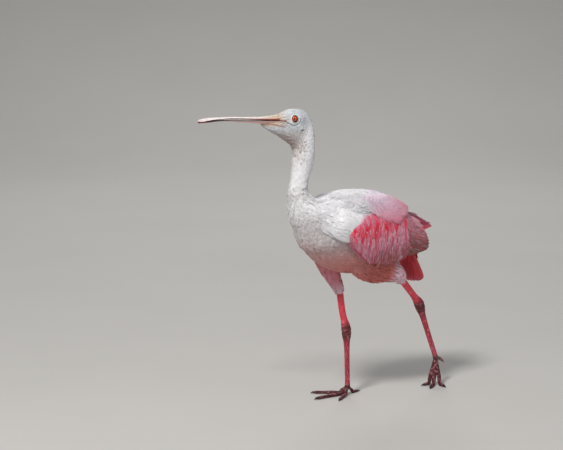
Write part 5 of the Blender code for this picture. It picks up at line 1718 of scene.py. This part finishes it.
@dataclass
class Leg:
    """A bare leg from the thigh's feathers to the claws."""

    side: Side
    voxel: float = 0.85
    web_reach: float = 17.0

    def __post_init__(self) -> None:
        left = self.side is Side.LEFT
        self.line = np.array(LEG_ROWS[self.side.word])
        self.base = self.line[-1, :3]
        self.turn = math.radians(34 if left else 3)
        self.reach = 17 if left else 15
        self.outwards = self.side.value

    def toe(self, spread: float, length: float, half: float) -> tuple[Array, Array]:
        """Return the lines of one toe and of its claw.

        The toe drops from its joint to the floor and runs on along it; a hind toe whose joint is high
        hangs free. Its half width swells at each of three pads by a cosine.
        """
        angle = self.turn + math.radians(spread)
        heading = np.array([-math.cos(angle), self.outwards * math.sin(angle), 0])
        down = np.array([0, 0, 1])
        low, base = 0.9 * half, self.base
        if spread > 90 and base[2] > length:
            knots = [base, base + 0.5 * heading * length - 3 * down, base + heading * length - 11 * down,
                     base + heading * (length + CLAW_LENGTH) - 17 * down]
            sizes = [half, half, 0.8 * half, 0.25]
        else:
            touch = base + heading * min(self.reach, 0.5 * length)
            touch[2] = low
            rest = max(length - np.linalg.norm(touch - base), 0.2 * length)
            knots = [base, 0.45 * base + 0.55 * touch + 2 * heading, touch, touch + 0.5 * heading * rest,
                     touch + heading * rest, touch + heading * (rest + CLAW_LENGTH)]
            knots[-2][2], knots[-1][2] = 0.78 * low, 0.6
            sizes = [1.1 * half, half, 1.06 * half, 0.9 * half, 0.8 * half, 0.25]
        rows = np.column_stack([knots, sizes])
        ends = len(rows) - 2
        toe = smooth_rows(rows, np.linspace(0, ends, 40))
        toe[:, 3] *= 1 + 0.1 * np.cos(np.linspace(0, 6 * np.pi, 40))
        claw = smooth_rows(rows, ends + np.linspace(-0.12, 1, 14))
        share = np.linspace(0, 1, 14)
        claw[:, 3] = half * (0.66 - 0.56 * share**1.4)
        claw[:, 2] += 1.1 * np.sin(np.pi * share)
        return toe, claw

    def web(self, ends: Sequence[Array]) -> Surface:
        """Return a small web between two toes, a bowed sheet with a hollow outer edge."""
        share, reach = np.meshgrid(np.linspace(-0.04, 1.04, 12), np.linspace(0, 1, 12), indexing="ij")
        edge = ends[0] + (ends[1] - ends[0]) * share[..., None]
        edge = edge + (self.base - edge) * (0.3 * np.sin(np.pi * np.clip(share, 0, 1)))[..., None]
        middle = self.base + (edge - self.base) * reach[..., None]
        top, bottom = middle + [0, 0, 0.8], middle - [0, 0, 0.8]
        number = np.arange(144).reshape(12, 12)
        flat = np.stack([number[:-1, :-1], number[1:, :-1], number[1:, 1:], number[:-1, 1:]],
                        -1).reshape(-1, 4)
        rim = np.concatenate([number[:, 0], number[-1, 1:], number[-2::-1, -1], number[0, -2:0:-1]])
        wall = np.stack([rim, np.roll(rim, -1), np.roll(rim, -1) + 144, rim + 144], axis=-1)
        quads = np.concatenate([flat, flat[:, ::-1] + 144, wall[:, ::-1]])
        return Surface(np.concatenate([top.reshape(-1, 3), bottom.reshape(-1, 3)]), quads).outwards()

    def build(self, hide: bpy.types.Material, horn: bpy.types.Material) -> None:
        """Build the leg's one skin and its four claws."""
        word = self.side.word
        rows = smooth_rows(self.line, np.linspace(0, len(self.line) - 1, 260))
        station = np.linspace(0, len(self.line) - 1, 260)
        rows[:, 3] *= 1 + 0.05 * bump(station, 5, 0.8) * np.cos(9 * station)
        parts = [tube(limb(rows, 40, np.array([0, 1, 0])))]
        ends = []
        for name, spread, length, half in TOE_ROWS:
            toe, claw = self.toe(spread, length, half)
            across = np.array([math.sin(math.radians(spread)), 1, 0])
            rings = limb(toe, 24, across)
            rings[..., 2] = np.maximum(rings[..., 2], 0)
            parts.append(tube(rings))
            claw_rings = limb(claw, 16, across)
            claw_rings[..., 2] = np.maximum(claw_rings[..., 2], 0)
            tint = np.broadcast_to(Tone.CLAW, claw_rings.shape)
            add_piece(f"claw_{word}_{name}_horn", tube(claw_rings, tint), horn, Slot.CLAW,
                      [f"claw_{word}_{name}"])
            if spread < 90:
                away = np.linalg.norm(toe[:, :3] - self.base, axis=1)
                ends.append(toe[away > self.web_reach][0, :3])
        parts += [self.web(ends[i:i + 2]) for i in range(2)]
        skin = remeshed(join([Surface(p.points, p.quads, p.triangles) for p in parts]), self.voxel, 3)
        skin.points[:, 2] = np.maximum(skin.points[:, 2], 0)
        skin.tint = self.tint(skin.points, rows, station)
        add_piece(f"leg_{word}_skin", skin, hide, Slot.LEG,
                  [f"{part}_{word}" for part in ("shank", "hock", "tarsus", "foot")])

    def tint(self, points: Array, rows: Array, station: Array) -> Array:
        """Return the skin's colour by the nearest place of the leg's line: red, painted brighter on the shank above
        the hock as sunlight, and dark at both joints.
        """
        nearest = np.concatenate([
            np.argmin(np.linalg.norm(part[:, None] - rows[None, ::4, :3], axis=-1), axis=1)
            for part in np.array_split(points, max(len(points) // 4000, 1))])
        place = station[::4][nearest]
        far = np.linalg.norm(points - self.base, axis=1)
        # Painted sunlight: the shank above the hock is a brighter red than the rest of the leg.
        colour = blend(even(Tone.LEG_SUNLIT, place), Tone.LEG, ease(place, 5.5, 7.5))
        joint = np.exp(-((place - 5.2) / 1.7) ** 4)
        x, y, z = points.T
        specks = np.sin(1.3 * z + 1.7 * np.sin(1.1 * y)) * np.sin(1.5 * x + 0.9 * z + np.sin(0.7 * z))
        colour = blend(colour, Tone.LEG_DARK, 0.85 * ease(specks, -0.05, 0.5) * ease(place, 5, 7))
        colour = blend(colour, Tone.PINK, 0.5 * ease(-specks, 0.4, 0.8) * ease(place, 4, 7.5))
        colour = blend(colour, Tone.LEG_DARK, 0.95 * joint * (1 - 0.45 * ease(-specks, 0.3, 0.8)))
        foot = np.where(place > 10.4, 1, 0) * ease(far, -1, 2)
        return blend(colour, Tone.LEG_DARK, 0.85 * np.maximum(foot, ease(place, 10, 10.9)))


@dataclass
class Studio:
    """Pale floor that curves up into a backdrop, soft lights, and the camera at the photograph's angle."""

    azimuth: float = math.radians(-40.0)
    elevation: float = math.radians(9.0)
    lens: float = 150.0
    sensor: float = 36.0
    distance: float = 4.41
    frame_size: tuple[int, int] = (563, 450)
    anchor: tuple[float, float, float] = (0.0, 0.014, 0.014)
    anchor_pixel: tuple[float, float] = (347.5, 387.0)

    def axes(self) -> tuple[Array, Array, Array]:
        """Return the camera's right, up and back directions."""
        a, e = self.azimuth, self.elevation
        back = np.array([math.sin(a) * math.cos(e), -math.cos(a) * math.cos(e), math.sin(e)])
        right = unit(np.cross([0, 0, 1], back))
        return right, np.cross(back, right), back

    def camera(self) -> None:
        """Place the camera so that the anchor, under the front foot's joint, is seen at its pixel."""
        right, up, back = self.axes()
        scale = self.frame_size[0] * self.lens / self.sensor
        x = (self.anchor_pixel[0] - self.frame_size[0] / 2) / scale
        y = (self.frame_size[1] / 2 - self.anchor_pixel[1]) / scale
        place = np.array(self.anchor) + SHIFT - self.distance * (-back + x * right + y * up)
        data = bpy.data.cameras.new("camera")
        data.lens, data.sensor_width = self.lens, self.sensor
        data.clip_start, data.clip_end = 0.1, 60
        shot = bpy.data.objects.new("camera", data)
        turn = np.column_stack([right, up, back])
        shot.matrix_world = Matrix.Translation(Vector(place)) @ Matrix(turn.tolist()).to_4x4()
        bpy.context.scene.collection.objects.link(shot)
        bpy.context.scene.camera = shot

    def floor(self) -> None:
        """Make the floor: flat round the bird, and far behind it a quarter circle up to a wall."""
        right, _, back = self.axes()
        level_back = unit(back * [1, 1, 0])
        run = np.linspace(-14, 3.2, 40)
        turn = np.linspace(0, np.pi / 2, 20)[1:]
        away = np.concatenate([run, 3.2 + 1.6 * np.sin(turn), [4.8]])
        height = np.concatenate([0 * run, 1.6 - 1.6 * np.cos(turn), [8]])
        side = np.linspace(-12, 12, 9)
        points = (-level_back * away[:, None, None] + right * side[None, :, None]
                  + np.array([0, 0, 1]) * height[:, None, None])
        number = np.arange(points.shape[0] * 9).reshape(-1, 9)
        quads = np.stack([number[:-1, :-1], number[:-1, 1:], number[1:, 1:], number[1:, :-1]],
                         -1).reshape(-1, 4)
        mesh = bpy.data.meshes.new("floor")
        mesh.from_pydata(points.reshape(-1, 3).tolist(), [], quads.tolist())
        mesh.polygons.foreach_set("use_smooth", np.ones(len(quads), bool))
        pale = bpy.data.materials.new("pale_floor")
        pale.use_nodes = True
        graph = Graph(pale.node_tree)
        shader = pale.node_tree.nodes["Principled BSDF"]
        noise = graph.add("TexNoise", {"Vector": graph.add("TexCoord").outputs["Object"], "Scale": 3})
        shade = graph.mixed(noise.outputs[0], (0.5, 0.49, 0.475, 1), (0.54, 0.53, 0.515, 1))
        graph.link(shade, shader, "Base Color")
        shader.inputs["Roughness"].default_value = 0.75
        mesh.materials.append(pale)
        made = bpy.data.objects.new("floor", mesh)
        bpy.context.scene.collection.objects.link(made)

    def light(self, name: str, place: Sequence[float], size: float, power: float, tint: Colour) -> None:
        """Hang a soft square light that faces the bird's middle."""
        data = bpy.data.lights.new(name, "AREA")
        data.size, data.energy, data.color = size, power, tint
        lamp = bpy.data.objects.new(name, data)
        aim = Vector((0, 0, 0.3)) - Vector(place)
        lamp.matrix_world = Matrix.Translation(Vector(place)) @ aim.to_track_quat("-Z",
                                                                                  "Y").to_matrix().to_4x4()
        bpy.context.scene.collection.objects.link(lamp)

    def build(self) -> None:
        """Set up floor, lights, surroundings and camera."""
        self.floor()
        self.light("key_light", (-2.6, -1.1, 3.6), 0.8, 158, (1, 0.975, 0.94))
        self.light("fill_light", (1.2, -3.8, 1.4), 2.5, 18, (0.93, 0.96, 1))
        self.light("rim_light", (2.2, 2.6, 2.4), 1.6, 36, (1, 0.98, 0.95))
        world = bpy.data.worlds.new("studio")
        world.use_nodes = True
        world.node_tree.nodes["Background"].inputs[0].default_value = (0.86, 0.88, 0.9, 1)
        world.node_tree.nodes["Background"].inputs[1].default_value = 0.3
        bpy.context.scene.world = world
        bpy.context.scene.view_settings.view_transform = "Standard"
        self.camera()


def main() -> None:
    """Dress the bird and set up the studio."""
    logging.basicConfig(level=logging.INFO, format="%(message)s")
    effects = Effects()
    face = HideFinish("face_skin", roughness=0.55, broad=260, fine=1100, contrast=0.24,
                      depth=0.0004).make(effects)
    horn = HideFinish("bill_horn", roughness=0.42, broad=220, fine=900, contrast=0.16,
                      depth=0.0003).make(effects)
    ball = HideFinish("eye_ball", roughness=0.2, coat=1, contrast=0, depth=0).make(effects)
    legs = HideFinish("leg_skin", roughness=0.45, broad=90, fine=1400, contrast=0.3, depth=0.0003,
                      scale_size=330, flecks=0.28).make(effects)
    claws = HideFinish("claw_horn", roughness=0.35, broad=300, fine=900, contrast=0.3).make(effects)
    down = FeatherFinish("body_plumage", roughness=0.75, sheen=0.2, streaks=9, contrast=0.08).make(effects)
    silk = FeatherFinish("silky_plumage", roughness=0.6, sheen=0.08, streaks=8, contrast=0.16).make(effects)
    vanes = FeatherFinish("flight_feathers", roughness=0.5, sheen=0.2, streaks=16, ribs=46, contrast=0.2,
                          rib_depth=0.1, shaft=0.5).make(effects)
    Skin().build(face)
    Bill().build(horn)
    for side in Side:
        Eye(side).build(ball)
        Leg(side).build(legs, claws)
        Wing(side).build(silk, vanes)
    BodyPlumage().build(down)
    ThighPlumage().build(down)
    Scapulars().build(silk, vanes)
    Tail().build(silk, vanes)
    Studio().build()


if __name__ == "__main__":
    main()
